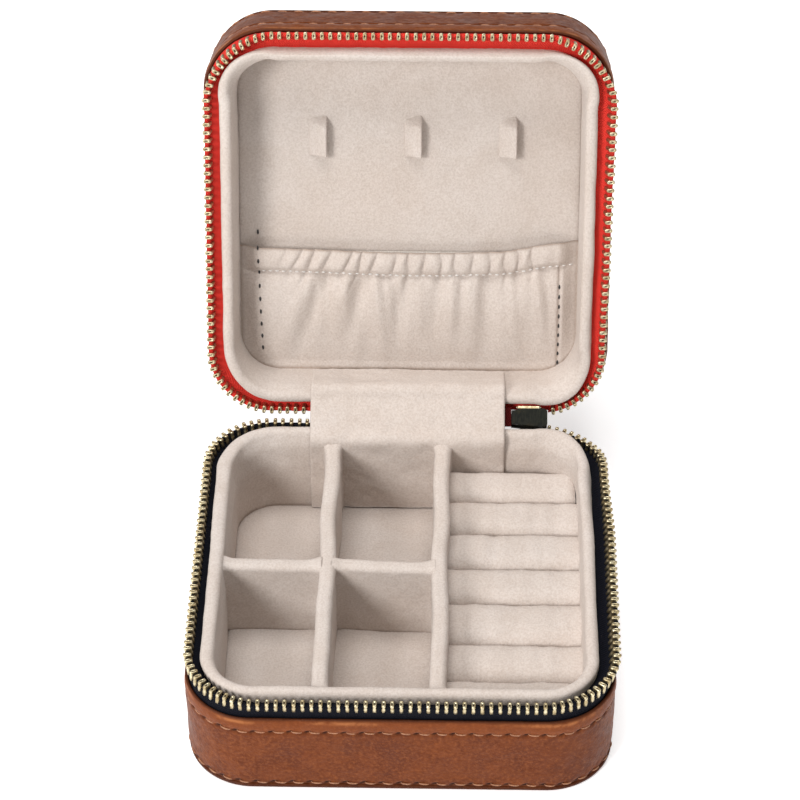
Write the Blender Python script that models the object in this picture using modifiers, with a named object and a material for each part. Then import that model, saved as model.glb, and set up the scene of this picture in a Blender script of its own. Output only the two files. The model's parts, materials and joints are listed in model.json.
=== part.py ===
"""Zip-round travel jewellery case: leather shell, velvet lining, brass zip.

Every size below is in millimetres and is turned into metres where a mesh is
made. The origin is the centre of the base's bottom face, +X right, +Y back
towards the hinge, +Z up. The lid is modelled shut, in the base's coordinates,
and is then swung open about the hinge line at the back.
"""
import math

import bmesh
import bpy
from mathutils import Matrix, Vector

MM = 0.001
GAP = 0.3                      # clearance between neighbouring pieces

# outer case, shut
CASE_WIDTH = 100.0
CASE_DEPTH = 98.0
CORNER_RADIUS = 16.0
LINING_CORNER = 14.0           # outer corner of the velvet lining wall
ZIP_HEIGHT = 28.8              # plane in which the two zip chains meet
LID_HEIGHT = 26.4              # from the zip plane to the top of the lid
CORNER_STEPS = 7

# hinge line, and how far the lid stands open
HINGE_Y = 49.33
LID_OPEN_DEG = 110.8

# layers of the wall, from the outside in
LEATHER = 1.1
TAPE = 0.5
BOARD = 1.3
LINING_WALL = 3.6
LEATHER_TOP = 23.5             # top edge of the base's leather
BOARD_TOP = 23.0
LINING_TOP = 28.3
LINING_ROUND = 1.4

TAPE_INSET = LEATHER + GAP
BOARD_INSET = TAPE_INSET + TAPE + GAP
LINING_INSET = BOARD_INSET + BOARD + GAP
CAVITY_INSET = LINING_INSET + LINING_WALL

# floor of the base, from the bottom up
FLOOR_BOARD = 1.8
FLOOR_PAD_TOP = 5.5
FLOOR_BOARD_LOW = LEATHER + GAP
FLOOR_PAD_LOW = FLOOR_BOARD_LOW + FLOOR_BOARD + GAP

# roof of the lid, measured as heights in the shut case
LID_TOP = ZIP_HEIGHT + LID_HEIGHT
ROOF_BOARD = 1.8
PANEL_FACE = 44.0              # face of the padded panel inside the lid
ROOF_BOARD_HIGH = LID_TOP - LEATHER - GAP
PANEL_HIGH = ROOF_BOARD_HIGH - ROOF_BOARD - GAP

# zip
TAPE_LOW = 17.0
CHAIN_DIAMETER = 1.9
CHAIN_INSET = 1.65             # from the case's outer face to the chain's centre
CHAIN_Z = ZIP_HEIGHT - GAP - CHAIN_DIAMETER / 2
TAPE_TOP = CHAIN_Z - CHAIN_DIAMETER / 2 - GAP
CHAIN_LEFT_X = -23.0           # where the chain ends beside the hinge, on the left
TAPE_LEFT_X = -21.3
CHAIN_RIGHT_ANGLE = 66.0       # how far the chain runs into the back right corner
TOP_STOP_LENGTH = 1.4

# compartments of the base
DIVIDER_TOP = 27.0
CROSS_TOP = 26.0
LEFT_DIVIDER_X = -18.3
RIGHT_DIVIDER_X = 9.0
DIVIDER_THICK = 3.4
CROSS_Y = -1.5
ROLL_COUNT = 7
ROLL_TOP = 20.2
ROLL_ROUND = 4.4

# fittings of the lid
HOOK_COUNT = 3
HOOK_SPACING = 23.6
HOOK_CENTRE_X = 0.4
HOOK_WIDTH = 5.2
HOOK_HIGH_Y = -25.6
HOOK_LOW_Y = -13.5
HOOK_STAND = 4.0
POCKET_MOUTH_Y = 9.3
POCKET_DEPTH = 3.4
POCKET_CLOTH = 0.9
ELASTIC_WIDTH = 3.0
ELASTIC_THICK = 0.5

# hinge pieces
FLAP_LEFT_X = -24.2
FLAP_RIGHT_X = 24.6
FLAP_THICK = 0.8
SPINE_LEFT_X = -20.8
SPINE_RIGHT_X = 24.0

# zip slider, modelled with the case shut
SLIDER_X = 30.8
SLIDER_LENGTH = 9.0
SLIDER_WIDTH = 6.0
SLIDER_TAIL_WIDTH = 4.4
SLIDER_PLATE = 1.1
SLIDER_CHANNEL = 2.6
SLIDER_Y = HINGE_Y + 0.47
SLIDER_LIP = 0.6
BRIDGE_RADIUS = 0.5
BRIDGE_STAND = 1.6
BRIDGE_SPAN = 5.6
PULL_RING_RADIUS = 1.6
PULL_WIRE = 0.45
PULL_WIDTH = 4.6
PULL_LENGTH = 14.0
PULL_THICK = 1.1

HALF_X = CASE_WIDTH / 2
HALF_Y = CASE_DEPTH / 2
FRONT_END = -(HALF_Y - CAVITY_INSET - GAP)                # dividers and rolls, at the front wall
BACK_END = HALF_Y - CAVITY_INSET - 2 * GAP - FLAP_THICK   # and against the hinge flap
HINGE_LINE = Vector((0.0, HINGE_Y, ZIP_HEIGHT))

COLOURS = {
    "cognac_leather": ((0.30, 0.075, 0.022), 0.42, 0.0),
    "velvet": ((0.75, 0.66, 0.59), 0.95, 0.0),
    "board": ((0.35, 0.31, 0.26), 0.9, 0.0),
    "navy_tape": ((0.012, 0.014, 0.025), 0.85, 0.0),
    "red_tape": ((0.75, 0.03, 0.02), 0.8, 0.0),
    "zip_brass": ((0.56, 0.46, 0.24), 0.35, 1.0),
    "dark_brass": ((0.05, 0.05, 0.03), 0.4, 1.0),
    "elastic": ((0.7, 0.66, 0.6), 0.9, 0.0),
}


# ---------------------------------------------------------------- scene setup

def clear_scene():
    for obj in list(bpy.data.objects):
        bpy.data.objects.remove(obj, do_unlink=True)


def new_collection(name):
    collection = bpy.data.collections.new(name)
    bpy.context.scene.collection.children.link(collection)
    return collection


def make_material(name):
    colour, roughness, metallic = COLOURS[name]
    material = bpy.data.materials.new(name)
    material.use_nodes = True
    shader = material.node_tree.nodes["Principled BSDF"]
    shader.inputs["Base Color"].default_value = (*colour, 1.0)
    shader.inputs["Roughness"].default_value = roughness
    shader.inputs["Metallic"].default_value = metallic
    material.diffuse_color = (*colour, 1.0)
    return material


# ------------------------------------------------------------- shape helpers

def arc(centre_x, centre_y, radius, start_deg, end_deg, steps=CORNER_STEPS):
    """Points of an arc, ends included."""
    points = []
    for step in range(steps + 1):
        angle = math.radians(start_deg + (end_deg - start_deg) * step / steps)
        points.append((centre_x + radius * math.cos(angle), centre_y + radius * math.sin(angle)))
    return points


def corner_radius(inset):
    """The corner's radius at a depth of inset: the lining has its own, larger curve."""
    if inset < LINING_INSET:
        return CORNER_RADIUS - inset
    return LINING_CORNER - (inset - LINING_INSET)


def case_outline(inset):
    """The case's rounded rectangle, shrunk by inset, anticlockwise from the right."""
    half_x = HALF_X - inset
    half_y = HALF_Y - inset
    radius = corner_radius(inset)
    cx = half_x - radius
    cy = half_y - radius
    points = arc(cx, cy, radius, 0, 90)
    points += arc(-cx, cy, radius, 90, 180)
    points += arc(-cx, -cy, radius, 180, 270)
    points += arc(cx, -cy, radius, 270, 360)
    return points


def zip_path(inset, left_x):
    """The zip's route from the left of the hinge, round the front, to the back right."""
    half_x = HALF_X - inset
    half_y = HALF_Y - inset
    radius = corner_radius(inset)
    cx = half_x - radius
    cy = half_y - radius
    points = [(left_x, half_y)]
    points += arc(-cx, cy, radius, 90, 180)
    points += arc(-cx, -cy, radius, 180, 270)
    points += arc(cx, -cy, radius, 270, 360)
    points += arc(cx, cy, radius, 0, CHAIN_RIGHT_ANGLE)
    return points


def metres(*values):
    return Vector(values) * MM


def add_object(name, mesh_or_curve, material, smooth=False):
    obj = bpy.data.objects.new(name, mesh_or_curve)
    obj.data.materials.append(MATERIALS[material])
    CASE.objects.link(obj)
    if smooth:
        obj.data.shade_smooth()
    return obj


def mesh_from(bm, name):
    bmesh.ops.recalc_face_normals(bm, faces=bm.faces)
    mesh = bpy.data.meshes.new(name)
    bm.to_mesh(mesh)
    bm.free()
    return mesh


def round_edges(obj, width, segments=2):
    bevel = obj.modifiers.new("Rounded edges", "BEVEL")
    bevel.width = width * MM
    bevel.segments = segments
    bevel.limit_method = "ANGLE"
    bevel.angle_limit = math.radians(50)
    return bevel


def strip(name, points, z_low, z_high, thickness, material, closed):
    """An upright wall along points, which are on its outer face, thickened inwards."""
    bm = bmesh.new()
    low = [bm.verts.new(metres(x, y, z_low)) for x, y in points]
    edges = [bm.edges.new(pair) for pair in zip(low, low[1:])]
    if closed:
        edges.append(bm.edges.new((low[-1], low[0])))
    raised = bmesh.ops.extrude_edge_only(bm, edges=edges)["geom"]
    top = [item for item in raised if isinstance(item, bmesh.types.BMVert)]
    bmesh.ops.translate(bm, verts=top, vec=metres(0, 0, z_high - z_low))
    bm.faces.ensure_lookup_table()
    face = bm.faces[0]
    face.normal_update()
    inward = -face.calc_center_median()
    if face.normal.dot(Vector((inward.x, inward.y, 0))) > 0:
        bmesh.ops.reverse_faces(bm, faces=bm.faces)
    mesh = bpy.data.meshes.new(name)
    bm.to_mesh(mesh)
    bm.free()
    obj = add_object(name, mesh, material)
    solid = obj.modifiers.new("Thickness", "SOLIDIFY")
    solid.thickness = thickness * MM
    solid.offset = -1.0
    solid.use_even_offset = True
    return obj


def ring_wall(name, inset, z_low, z_high, thickness, material):
    return strip(name, case_outline(inset), z_low, z_high, thickness, material, True)


def prism(name, points, z_low, z_high, material):
    """A flat plate with the outline points, as a filled and extruded 2D curve."""
    curve = bpy.data.curves.new(name, "CURVE")
    curve.dimensions = "2D"
    curve.fill_mode = "BOTH"
    curve.extrude = (z_high - z_low) / 2 * MM
    spline = curve.splines.new("POLY")
    spline.points.add(len(points) - 1)
    for spot, (x, y) in zip(spline.points, points):
        spot.co = (x * MM, y * MM, 0, 1)
    spline.use_cyclic_u = True
    obj = add_object(name, curve, material)
    obj.location = metres(0, 0, (z_low + z_high) / 2)
    weld = obj.modifiers.new("Join caps", "WELD")
    weld.merge_threshold = 0.00001
    return obj


def box(name, low, high, material):
    """A plain block between two corners."""
    bpy.ops.mesh.primitive_cube_add(size=1)
    obj = bpy.context.object
    size = Vector(high) - Vector(low)
    middle = (Vector(high) + Vector(low)) / 2
    obj.data.transform(Matrix.Diagonal((*(size * MM), 1)))
    obj.location = middle * MM
    obj.name = name
    obj.data.name = name
    obj.data.materials.append(MATERIALS[material])
    for collection in list(obj.users_collection):
        collection.objects.unlink(obj)
    CASE.objects.link(obj)
    return obj


def ribbon(name, path, left_x, right_x, thickness, material):
    """A band of cloth or leather that follows path, a list of (y, z), across the case."""
    bm = bmesh.new()
    start = [bm.verts.new(metres(left_x, y, z)) for y, z in path]
    edges = [bm.edges.new(pair) for pair in zip(start, start[1:])]
    swept = bmesh.ops.extrude_edge_only(bm, edges=edges)["geom"]
    moved = [item for item in swept if isinstance(item, bmesh.types.BMVert)]
    bmesh.ops.translate(bm, verts=moved, vec=metres(right_x - left_x, 0, 0))
    obj = add_object(name, mesh_from(bm, name), material)
    solid = obj.modifiers.new("Thickness", "SOLIDIFY")
    solid.thickness = thickness * MM
    solid.offset = 0.0
    solid.use_even_offset = True
    return obj


def cut(obj, cutter, operation="DIFFERENCE"):
    """Cut, join or trim obj with cutter, which is kept out of the model."""
    for collection in list(cutter.users_collection):
        collection.objects.unlink(cutter)
    CUTTERS.objects.link(cutter)
    cutter.hide_render = True
    cutter.display_type = "WIRE"
    boolean = obj.modifiers.new("Cut " + cutter.name, "BOOLEAN")
    boolean.operation = operation
    boolean.solver = "EXACT"
    boolean.object = cutter
    return boolean


def as_mesh(obj):
    """Replace a curve object by the closed mesh it makes, so that it can be cut."""
    graph = bpy.context.evaluated_depsgraph_get()
    mesh = bpy.data.meshes.new_from_object(obj.evaluated_get(graph))
    bm = bmesh.new()
    bm.from_mesh(mesh)
    bmesh.ops.remove_doubles(bm, verts=bm.verts, dist=0.00001)
    bmesh.ops.recalc_face_normals(bm, faces=bm.faces)
    bm.to_mesh(mesh)
    bm.free()
    name = obj.name
    place = obj.matrix_world.copy()
    homes = list(obj.users_collection)
    bpy.data.objects.remove(obj)
    solid = bpy.data.objects.new(name, mesh)
    solid.matrix_world = place
    for home in homes:
        home.objects.link(solid)
    return solid


def pivot(name, point, angle_deg, objects):
    """Hang objects on an empty that lies on a joint's axis, and turn it about X."""
    empty = bpy.data.objects.new(name, None)
    empty.empty_display_size = 0.01
    empty.location = point * MM
    CASE.objects.link(empty)
    bpy.context.view_layer.update()
    cutters = [mod.object for obj in objects for mod in obj.modifiers if mod.type == "BOOLEAN"]
    for obj in objects + cutters:
        obj.parent = empty
        obj.matrix_parent_inverse = empty.matrix_world.inverted()
    empty.rotation_euler = (math.radians(angle_deg), 0, 0)
    return empty


def opened(y, z):
    """Where a point of the shut lid lies with the lid open, as (y, z)."""
    angle = math.radians(LID_OPEN_DEG)
    dy = y - HINGE_Y
    dz = z - ZIP_HEIGHT
    return (HINGE_Y + dy * math.cos(angle) + dz * math.sin(angle),
            ZIP_HEIGHT - dy * math.sin(angle) + dz * math.cos(angle))


def mirrored(z):
    """The height in the lid that matches a height in the base."""
    return 2 * ZIP_HEIGHT - z


# ---------------------------------------------------------------- base pieces

def base_shell():
    prism("base_leather_bottom", case_outline(0.0), 0.0, LEATHER, "cognac_leather")
    ring_wall("base_leather_side", 0.0, LEATHER + GAP, LEATHER_TOP, LEATHER, "cognac_leather")
    ring_wall("base_core_wall", BOARD_INSET, FLOOR_BOARD_LOW, BOARD_TOP, BOARD, "board")
    prism("base_core_floor", case_outline(LINING_INSET), FLOOR_BOARD_LOW,
          FLOOR_BOARD_LOW + FLOOR_BOARD, "board")


def base_lining():
    wall = ring_wall("base_lining_wall", LINING_INSET, FLOOR_PAD_LOW, LINING_TOP,
                     LINING_WALL, "velvet")
    round_edges(wall, LINING_ROUND)
    prism("base_floor_pad", case_outline(CAVITY_INSET + GAP), FLOOR_PAD_LOW, FLOOR_PAD_TOP,
          "velvet")


def zip_half(prefix, tape_colour, in_lid):
    """One half of the zip: its tape, its chain and the stop at the chain's left end."""
    place = mirrored if in_lid else (lambda z: z)
    tape_levels = sorted((place(TAPE_LOW), place(TAPE_TOP)))
    tape = strip(prefix + "_zip_tape", zip_path(TAPE_INSET, TAPE_LEFT_X), *tape_levels,
                 TAPE, tape_colour, False)
    chain = bpy.data.curves.new(prefix + "_zip_chain", "CURVE")
    chain.dimensions = "3D"
    chain.bevel_depth = CHAIN_DIAMETER / 2 * MM
    chain.bevel_resolution = 1
    chain.use_fill_caps = True
    route = zip_path(CHAIN_INSET, CHAIN_LEFT_X)
    spline = chain.splines.new("POLY")
    spline.points.add(len(route) - 1)
    for spot, (x, y) in zip(spline.points, route):
        spot.co = (x * MM, y * MM, place(CHAIN_Z) * MM, 1)
    chain_obj = add_object(prefix + "_zip_chain", chain, "zip_brass")
    half = CHAIN_DIAMETER / 2
    y = HALF_Y - CHAIN_INSET
    z = place(CHAIN_Z)
    stop = box(prefix + "_top_stop", (CHAIN_LEFT_X + GAP, y - half, z - half),
               (CHAIN_LEFT_X + GAP + TOP_STOP_LENGTH, y + half, z + half), "zip_brass")
    round_edges(stop, 0.2)
    return [tape, chain_obj, stop]


def divider(name, x):
    half = DIVIDER_THICK / 2
    wall = box(name, (x - half, FRONT_END, FLOOR_PAD_TOP + GAP), (x + half, BACK_END, DIVIDER_TOP),
               "velvet")
    round_edges(wall, DIVIDER_THICK * 0.4)
    return wall


def cross_divider(name, x_low, x_high):
    half = DIVIDER_THICK / 2
    wall = box(name, (x_low + GAP, CROSS_Y - half, FLOOR_PAD_TOP + GAP),
               (x_high - GAP, CROSS_Y + half, CROSS_TOP), "velvet")
    round_edges(wall, DIVIDER_THICK * 0.4)
    return wall


def compartments():
    half = DIVIDER_THICK / 2
    divider("divider_left", LEFT_DIVIDER_X)
    divider("divider_right", RIGHT_DIVIDER_X)
    cross_divider("cross_divider_left", -(HALF_X - CAVITY_INSET), LEFT_DIVIDER_X - half)
    cross_divider("cross_divider_middle", LEFT_DIVIDER_X + half, RIGHT_DIVIDER_X - half)


def ring_rolls():
    """Padded rolls that fill the right-hand column from the back wall to the front."""
    x_low = RIGHT_DIVIDER_X + DIVIDER_THICK / 2 + GAP
    x_high = HALF_X - CAVITY_INSET - GAP
    pitch = (BACK_END - FRONT_END + GAP) / ROLL_COUNT
    for index in range(ROLL_COUNT):
        y_high = BACK_END - index * pitch
        y_low = y_high - pitch + GAP
        name = "ring_roll_%d" % (index + 1)
        roll = box(name, (x_low, y_low, FLOOR_PAD_TOP + GAP), (x_high, y_high, ROLL_TOP), "velvet")
        round_edges(roll, ROLL_ROUND, 3)
        if index in (0, ROLL_COUNT - 1):
            bounds = prism("roll_bounds_%d" % (index + 1), case_outline(CAVITY_INSET + GAP),
                           0.0, ZIP_HEIGHT, "velvet")
            cut(roll, as_mesh(bounds), "INTERSECT")


# ----------------------------------------------------------------- lid pieces

def lid_shell():
    top = prism("lid_leather_top", case_outline(0.0), LID_TOP - LEATHER, LID_TOP, "cognac_leather")
    side = ring_wall("lid_leather_side", 0.0, mirrored(LEATHER_TOP), LID_TOP - LEATHER - GAP,
                     LEATHER, "cognac_leather")
    wall = ring_wall("lid_core_wall", BOARD_INSET, mirrored(BOARD_TOP), ROOF_BOARD_HIGH,
                     BOARD, "board")
    roof = prism("lid_core_roof", case_outline(LINING_INSET), ROOF_BOARD_HIGH - ROOF_BOARD,
                 ROOF_BOARD_HIGH, "board")
    return [top, side, wall, roof]


def lid_lining():
    wall = ring_wall("lid_lining_wall", LINING_INSET, mirrored(LINING_TOP), PANEL_HIGH,
                     LINING_WALL, "velvet")
    round_edges(wall, LINING_ROUND)
    panel = prism("lid_panel", case_outline(CAVITY_INSET + GAP), PANEL_FACE, PANEL_HIGH, "velvet")
    return [wall, panel]


def hook(name, x):
    """A velvet tab that stands out from the panel towards its lower end."""
    face = PANEL_FACE - GAP
    profile = [(HOOK_HIGH_Y, face), (HOOK_LOW_Y, face), (HOOK_LOW_Y, face - HOOK_STAND),
               (HOOK_LOW_Y - 3.0, face - HOOK_STAND), (HOOK_HIGH_Y, face - 0.8)]
    bm = bmesh.new()
    corners = [bm.verts.new(metres(x - HOOK_WIDTH / 2, y, z)) for y, z in profile]
    side = bm.faces.new(corners)
    swept = bmesh.ops.extrude_face_region(bm, geom=[side])["geom"]
    moved = [item for item in swept if isinstance(item, bmesh.types.BMVert)]
    bmesh.ops.translate(bm, verts=moved, vec=metres(HOOK_WIDTH, 0, 0))
    tab = add_object(name, mesh_from(bm, name), "velvet")
    round_edges(tab, 0.3, 1)
    return tab


def hooks():
    names = ("hook_left", "hook_middle", "hook_right")
    first = HOOK_CENTRE_X - HOOK_SPACING * (HOOK_COUNT - 1) / 2
    return [hook(name, first + HOOK_SPACING * index) for index, name in enumerate(names)]


def pocket():
    """The gathered pocket, a flat bag on the panel with its mouth towards the hooks."""
    outline = case_outline(CAVITY_INSET + 2 * GAP)
    bag = as_mesh(prism("pocket", outline, PANEL_FACE - GAP - POCKET_DEPTH, PANEL_FACE - GAP, "velvet"))
    half_x = HALF_X
    above = box("pocket_trim", (-half_x, -half_x, 0), (half_x, POCKET_MOUTH_Y, LID_TOP), "velvet")
    cut(bag, above)
    side = HALF_X - CAVITY_INSET - 4.6
    low = HALF_Y - CAVITY_INSET - 2.4
    hollow = box("pocket_hollow", (-side, 0, PANEL_FACE - GAP - POCKET_DEPTH + POCKET_CLOTH),
                 (side, low, PANEL_FACE + 1.0), "velvet")
    cut(bag, hollow)
    cloth_back = PANEL_FACE - GAP - POCKET_DEPTH + POCKET_CLOTH + GAP
    elastic = box("pocket_elastic", (-side + GAP, POCKET_MOUTH_Y + GAP, cloth_back),
                  (side - GAP, POCKET_MOUTH_Y + GAP + ELASTIC_WIDTH, cloth_back + ELASTIC_THICK),
                  "elastic")
    return [bag, elastic]


# --------------------------------------------------------------- hinge pieces

def leather_spine():
    """The strip of leather that joins base and lid at the back and folds with them."""
    y = HALF_Y - LEATHER / 2
    fold = 0.6
    path = [(y, LEATHER_TOP + GAP), (y, ZIP_HEIGHT - fold)]
    path.append(opened(y, ZIP_HEIGHT + fold))
    path.append(opened(y, mirrored(LEATHER_TOP) - GAP))
    ribbon("leather_spine", path, SPINE_LEFT_X, SPINE_RIGHT_X, LEATHER, "cognac_leather")


def hinge_flap():
    """The velvet flap over the hinge, from the base's back wall to the lid's."""
    clearance = GAP + FLAP_THICK / 2
    inner_y = HALF_Y - CAVITY_INSET
    wall_y = inner_y - clearance
    over_rim = arc(inner_y + LINING_ROUND, LINING_TOP - LINING_ROUND,
                   LINING_ROUND + clearance, 180, 90, 4)
    path = [(wall_y, FLOOR_PAD_TOP + clearance)] + over_rim
    path += [opened(y, mirrored(z)) for y, z in reversed(over_rim)]
    path.append(opened(wall_y, PANEL_FACE - POCKET_DEPTH - clearance - GAP))
    ribbon("hinge_flap", path, FLAP_LEFT_X, FLAP_RIGHT_X, FLAP_THICK, "velvet")


# ---------------------------------------------------------------- zip slider

def slider_plate(name, y_low, y_high):
    """One plate of the slider, wide at the mouth on the right and narrow at the tail."""
    head = SLIDER_WIDTH / 2
    tail = SLIDER_TAIL_WIDTH / 2
    x_tail = SLIDER_X - SLIDER_LENGTH / 2
    x_head = SLIDER_X + SLIDER_LENGTH / 2
    shoulder = SLIDER_X + SLIDER_LENGTH * 0.1
    points = [(x_tail, -tail), (shoulder, -head), (x_head - 0.8, -head), (x_head, -head + 0.8),
              (x_head, head - 0.8), (x_head - 0.8, head), (shoulder, head), (x_tail, tail)]
    plate = as_mesh(prism(name, points, y_low, y_high, "dark_brass"))
    turn = Matrix.Rotation(math.radians(90), 4, "X")
    centre = (y_low + y_high) / 2
    plate.data.transform(turn)
    plate.location = metres(0, centre, ZIP_HEIGHT)
    return plate


def slider():
    inner_face = SLIDER_Y - SLIDER_CHANNEL / 2
    outer_face = SLIDER_Y + SLIDER_CHANNEL / 2
    body = slider_plate("slider_body", inner_face - SLIDER_PLATE, inner_face)
    outer = slider_plate("slider_outer_plate", outer_face, outer_face + SLIDER_PLATE)
    neck_low = (SLIDER_X + 1.6, inner_face - SLIDER_PLATE / 2, ZIP_HEIGHT - 0.6)
    neck_high = (SLIDER_X + 4.1, outer_face + SLIDER_PLATE / 2, ZIP_HEIGHT + 0.6)
    neck = box("slider_neck", neck_low, neck_high, "dark_brass")
    cut(outer, neck, "UNION")
    cut(body, as_mesh(outer), "UNION")
    return body


def slider_lips(body):
    """The turned edges that hold each half of the chain between the plates."""
    inner_face = SLIDER_Y - SLIDER_CHANNEL / 2
    outer_face = SLIDER_Y + SLIDER_CHANNEL / 2
    for side in (-1, 1):
        edge = ZIP_HEIGHT + side * (SLIDER_WIDTH / 2 - SLIDER_LIP / 2)
        for face, step in ((inner_face, 1), (outer_face, -1)):
            ys = sorted((face - step * SLIDER_PLATE / 2, face + step * SLIDER_LIP))
            lip = box("slider_lip_%d_%d" % (side, step),
                      (SLIDER_X + 1.2, ys[0], edge - SLIDER_LIP / 2),
                      (SLIDER_X + SLIDER_LENGTH / 2 - 1.0, ys[1], edge + SLIDER_LIP / 2), "dark_brass")
            cut(body, lip, "UNION")


def slider_bridge():
    """The loop on the slider's outer plate that carries the pull."""
    base_y = SLIDER_Y + SLIDER_CHANNEL / 2 + SLIDER_PLATE + GAP
    bar_y = base_y + BRIDGE_STAND
    half = BRIDGE_SPAN / 2
    curve = bpy.data.curves.new("slider_bridge", "CURVE")
    curve.dimensions = "3D"
    curve.bevel_depth = BRIDGE_RADIUS * MM
    curve.bevel_resolution = 2
    curve.use_fill_caps = True
    points = [(-half, base_y), (-half, bar_y - 0.6), (-half + 0.6, bar_y), (half - 0.6, bar_y),
              (half, bar_y - 0.6), (half, base_y)]
    spline = curve.splines.new("POLY")
    spline.points.add(len(points) - 1)
    for spot, (x, y) in zip(spline.points, points):
        spot.co = ((SLIDER_X + x) * MM, y * MM, ZIP_HEIGHT * MM, 1)
    return add_object("slider_bridge", curve, "zip_brass"), bar_y


def bottom_stop():
    """The stop that joins the two tapes beside the hinge."""
    x_high = SLIDER_X - SLIDER_LENGTH / 2 - GAP
    stop = box("bottom_stop", (x_high - 1.2, SLIDER_Y - 1.0, ZIP_HEIGHT - 1.6),
               (x_high, SLIDER_Y + 1.0, ZIP_HEIGHT + 1.6), "zip_brass")
    round_edges(stop, 0.25)
    return stop


def pull(axis_y, axis_z):
    """The pull: a ring on the slider's bridge with a flat tab hanging from it."""
    drop = PULL_RING_RADIUS - PULL_WIRE - BRIDGE_RADIUS - 0.1
    ring_z = axis_z - drop
    bpy.ops.mesh.primitive_torus_add(major_radius=PULL_RING_RADIUS * MM,
                                     minor_radius=PULL_WIRE * MM,
                                     major_segments=20, minor_segments=8,
                                     rotation=(0, math.radians(90), 0))
    ring = bpy.context.object
    ring.name = "pull_tab"
    ring.data.name = "pull_tab"
    ring.location = metres(SLIDER_X, axis_y, ring_z)
    ring.data.materials.append(MATERIALS["zip_brass"])
    for collection in list(ring.users_collection):
        collection.objects.unlink(ring)
    CASE.objects.link(ring)
    top = ring_z - PULL_RING_RADIUS + PULL_WIRE / 2
    half = PULL_WIDTH / 2
    tab = box("pull_plate", (SLIDER_X - half, axis_y - PULL_THICK / 2, top - PULL_LENGTH),
              (SLIDER_X + half, axis_y + PULL_THICK / 2, top), "zip_brass")
    round_edges(tab, 0.4)
    cut(ring, tab, "UNION")
    return ring


# ------------------------------------------------------------------ assembly

def build():
    base_shell()
    base_lining()
    zip_half("base", "navy_tape", False)
    compartments()
    ring_rolls()
    leather_spine()
    hinge_flap()

    lid = lid_shell() + lid_lining() + zip_half("lid", "red_tape", True) + hooks() + pocket()
    pivot("lid_hinge", HINGE_LINE, -LID_OPEN_DEG, lid)

    half_open = -LID_OPEN_DEG / 2
    pivot("zip_end_fold", HINGE_LINE, half_open, [bottom_stop()])
    body = slider()
    slider_lips(body)
    bridge, bar_y = slider_bridge()
    pivot("slider_fold", HINGE_LINE, half_open, [body, bridge])

    angle = math.radians(LID_OPEN_DEG / 2)
    arm = bar_y - HINGE_Y
    axis_y = HINGE_Y + arm * math.cos(angle)
    axis_z = ZIP_HEIGHT - arm * math.sin(angle)
    tab = pull(axis_y, axis_z)
    pivot("pull_hinge", Vector((SLIDER_X, axis_y, axis_z)), 0.0, [tab])


clear_scene()
CASE = new_collection("jewellery_case")
CUTTERS = new_collection("cutters")
MATERIALS = {name: make_material(name) for name in COLOURS}
build()
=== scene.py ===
"""Looks of the zip-round jewellery case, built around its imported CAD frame.

Shapes are worked out in millimetres. Everything in the lid is worked out as if
the lid were shut, in the base's coordinates, and then swung open to the rest
position. The zip slider and the stop beside it turn half as far as the lid.
"""

import json
import math

import bmesh
import bpy
import numpy as np
from mathutils import Matrix, Vector


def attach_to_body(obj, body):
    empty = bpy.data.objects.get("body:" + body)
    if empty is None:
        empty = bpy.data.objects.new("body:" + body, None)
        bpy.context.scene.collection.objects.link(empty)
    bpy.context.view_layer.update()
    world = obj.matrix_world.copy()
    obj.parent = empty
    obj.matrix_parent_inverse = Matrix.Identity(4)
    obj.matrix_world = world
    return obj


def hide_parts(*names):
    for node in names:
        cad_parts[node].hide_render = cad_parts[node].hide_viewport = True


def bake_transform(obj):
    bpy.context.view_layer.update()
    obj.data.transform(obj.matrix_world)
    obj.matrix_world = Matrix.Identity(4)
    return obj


MM = 0.001
TAU = 2 * math.pi

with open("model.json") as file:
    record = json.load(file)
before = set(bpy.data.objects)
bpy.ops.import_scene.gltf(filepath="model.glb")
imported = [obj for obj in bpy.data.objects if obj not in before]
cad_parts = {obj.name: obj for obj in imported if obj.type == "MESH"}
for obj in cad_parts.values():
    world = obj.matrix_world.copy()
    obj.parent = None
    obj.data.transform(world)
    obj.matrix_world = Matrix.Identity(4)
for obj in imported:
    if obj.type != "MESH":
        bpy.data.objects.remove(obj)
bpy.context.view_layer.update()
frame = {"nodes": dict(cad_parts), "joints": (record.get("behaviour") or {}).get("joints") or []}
NODES = frame["nodes"]


# ------------------------------------------------------- places from the frame

def joint(name):
    """The record of one joint."""
    return next(item for item in frame["joints"] if item["name"] == name)


HINGE = joint("lid_hinge")
HINGE_Y = HINGE["pos_m"][1] / MM
HINGE_Z = HINGE["pos_m"][2] / MM
OPEN = math.radians(HINGE["range_deg"][1])


def swing(points, angle):
    """Turn points (mm) about the hinge line; a positive angle opens."""
    points = np.array(points, float)
    dy = points[..., 1] - HINGE_Y
    dz = points[..., 2] - HINGE_Z
    turned = points.copy()
    turned[..., 1] = HINGE_Y + dy * math.cos(angle) + dz * math.sin(angle)
    turned[..., 2] = HINGE_Z - dy * math.sin(angle) + dz * math.cos(angle)
    return turned


def extent(node, angle=0.0):
    """Lowest and highest corner (mm) of a CAD node, with its body swung shut by angle."""
    corners = np.array([vertex.co for vertex in NODES[node].data.vertices]) / MM
    corners = swing(corners, -angle)
    return corners.min(0), corners.max(0)


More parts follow.
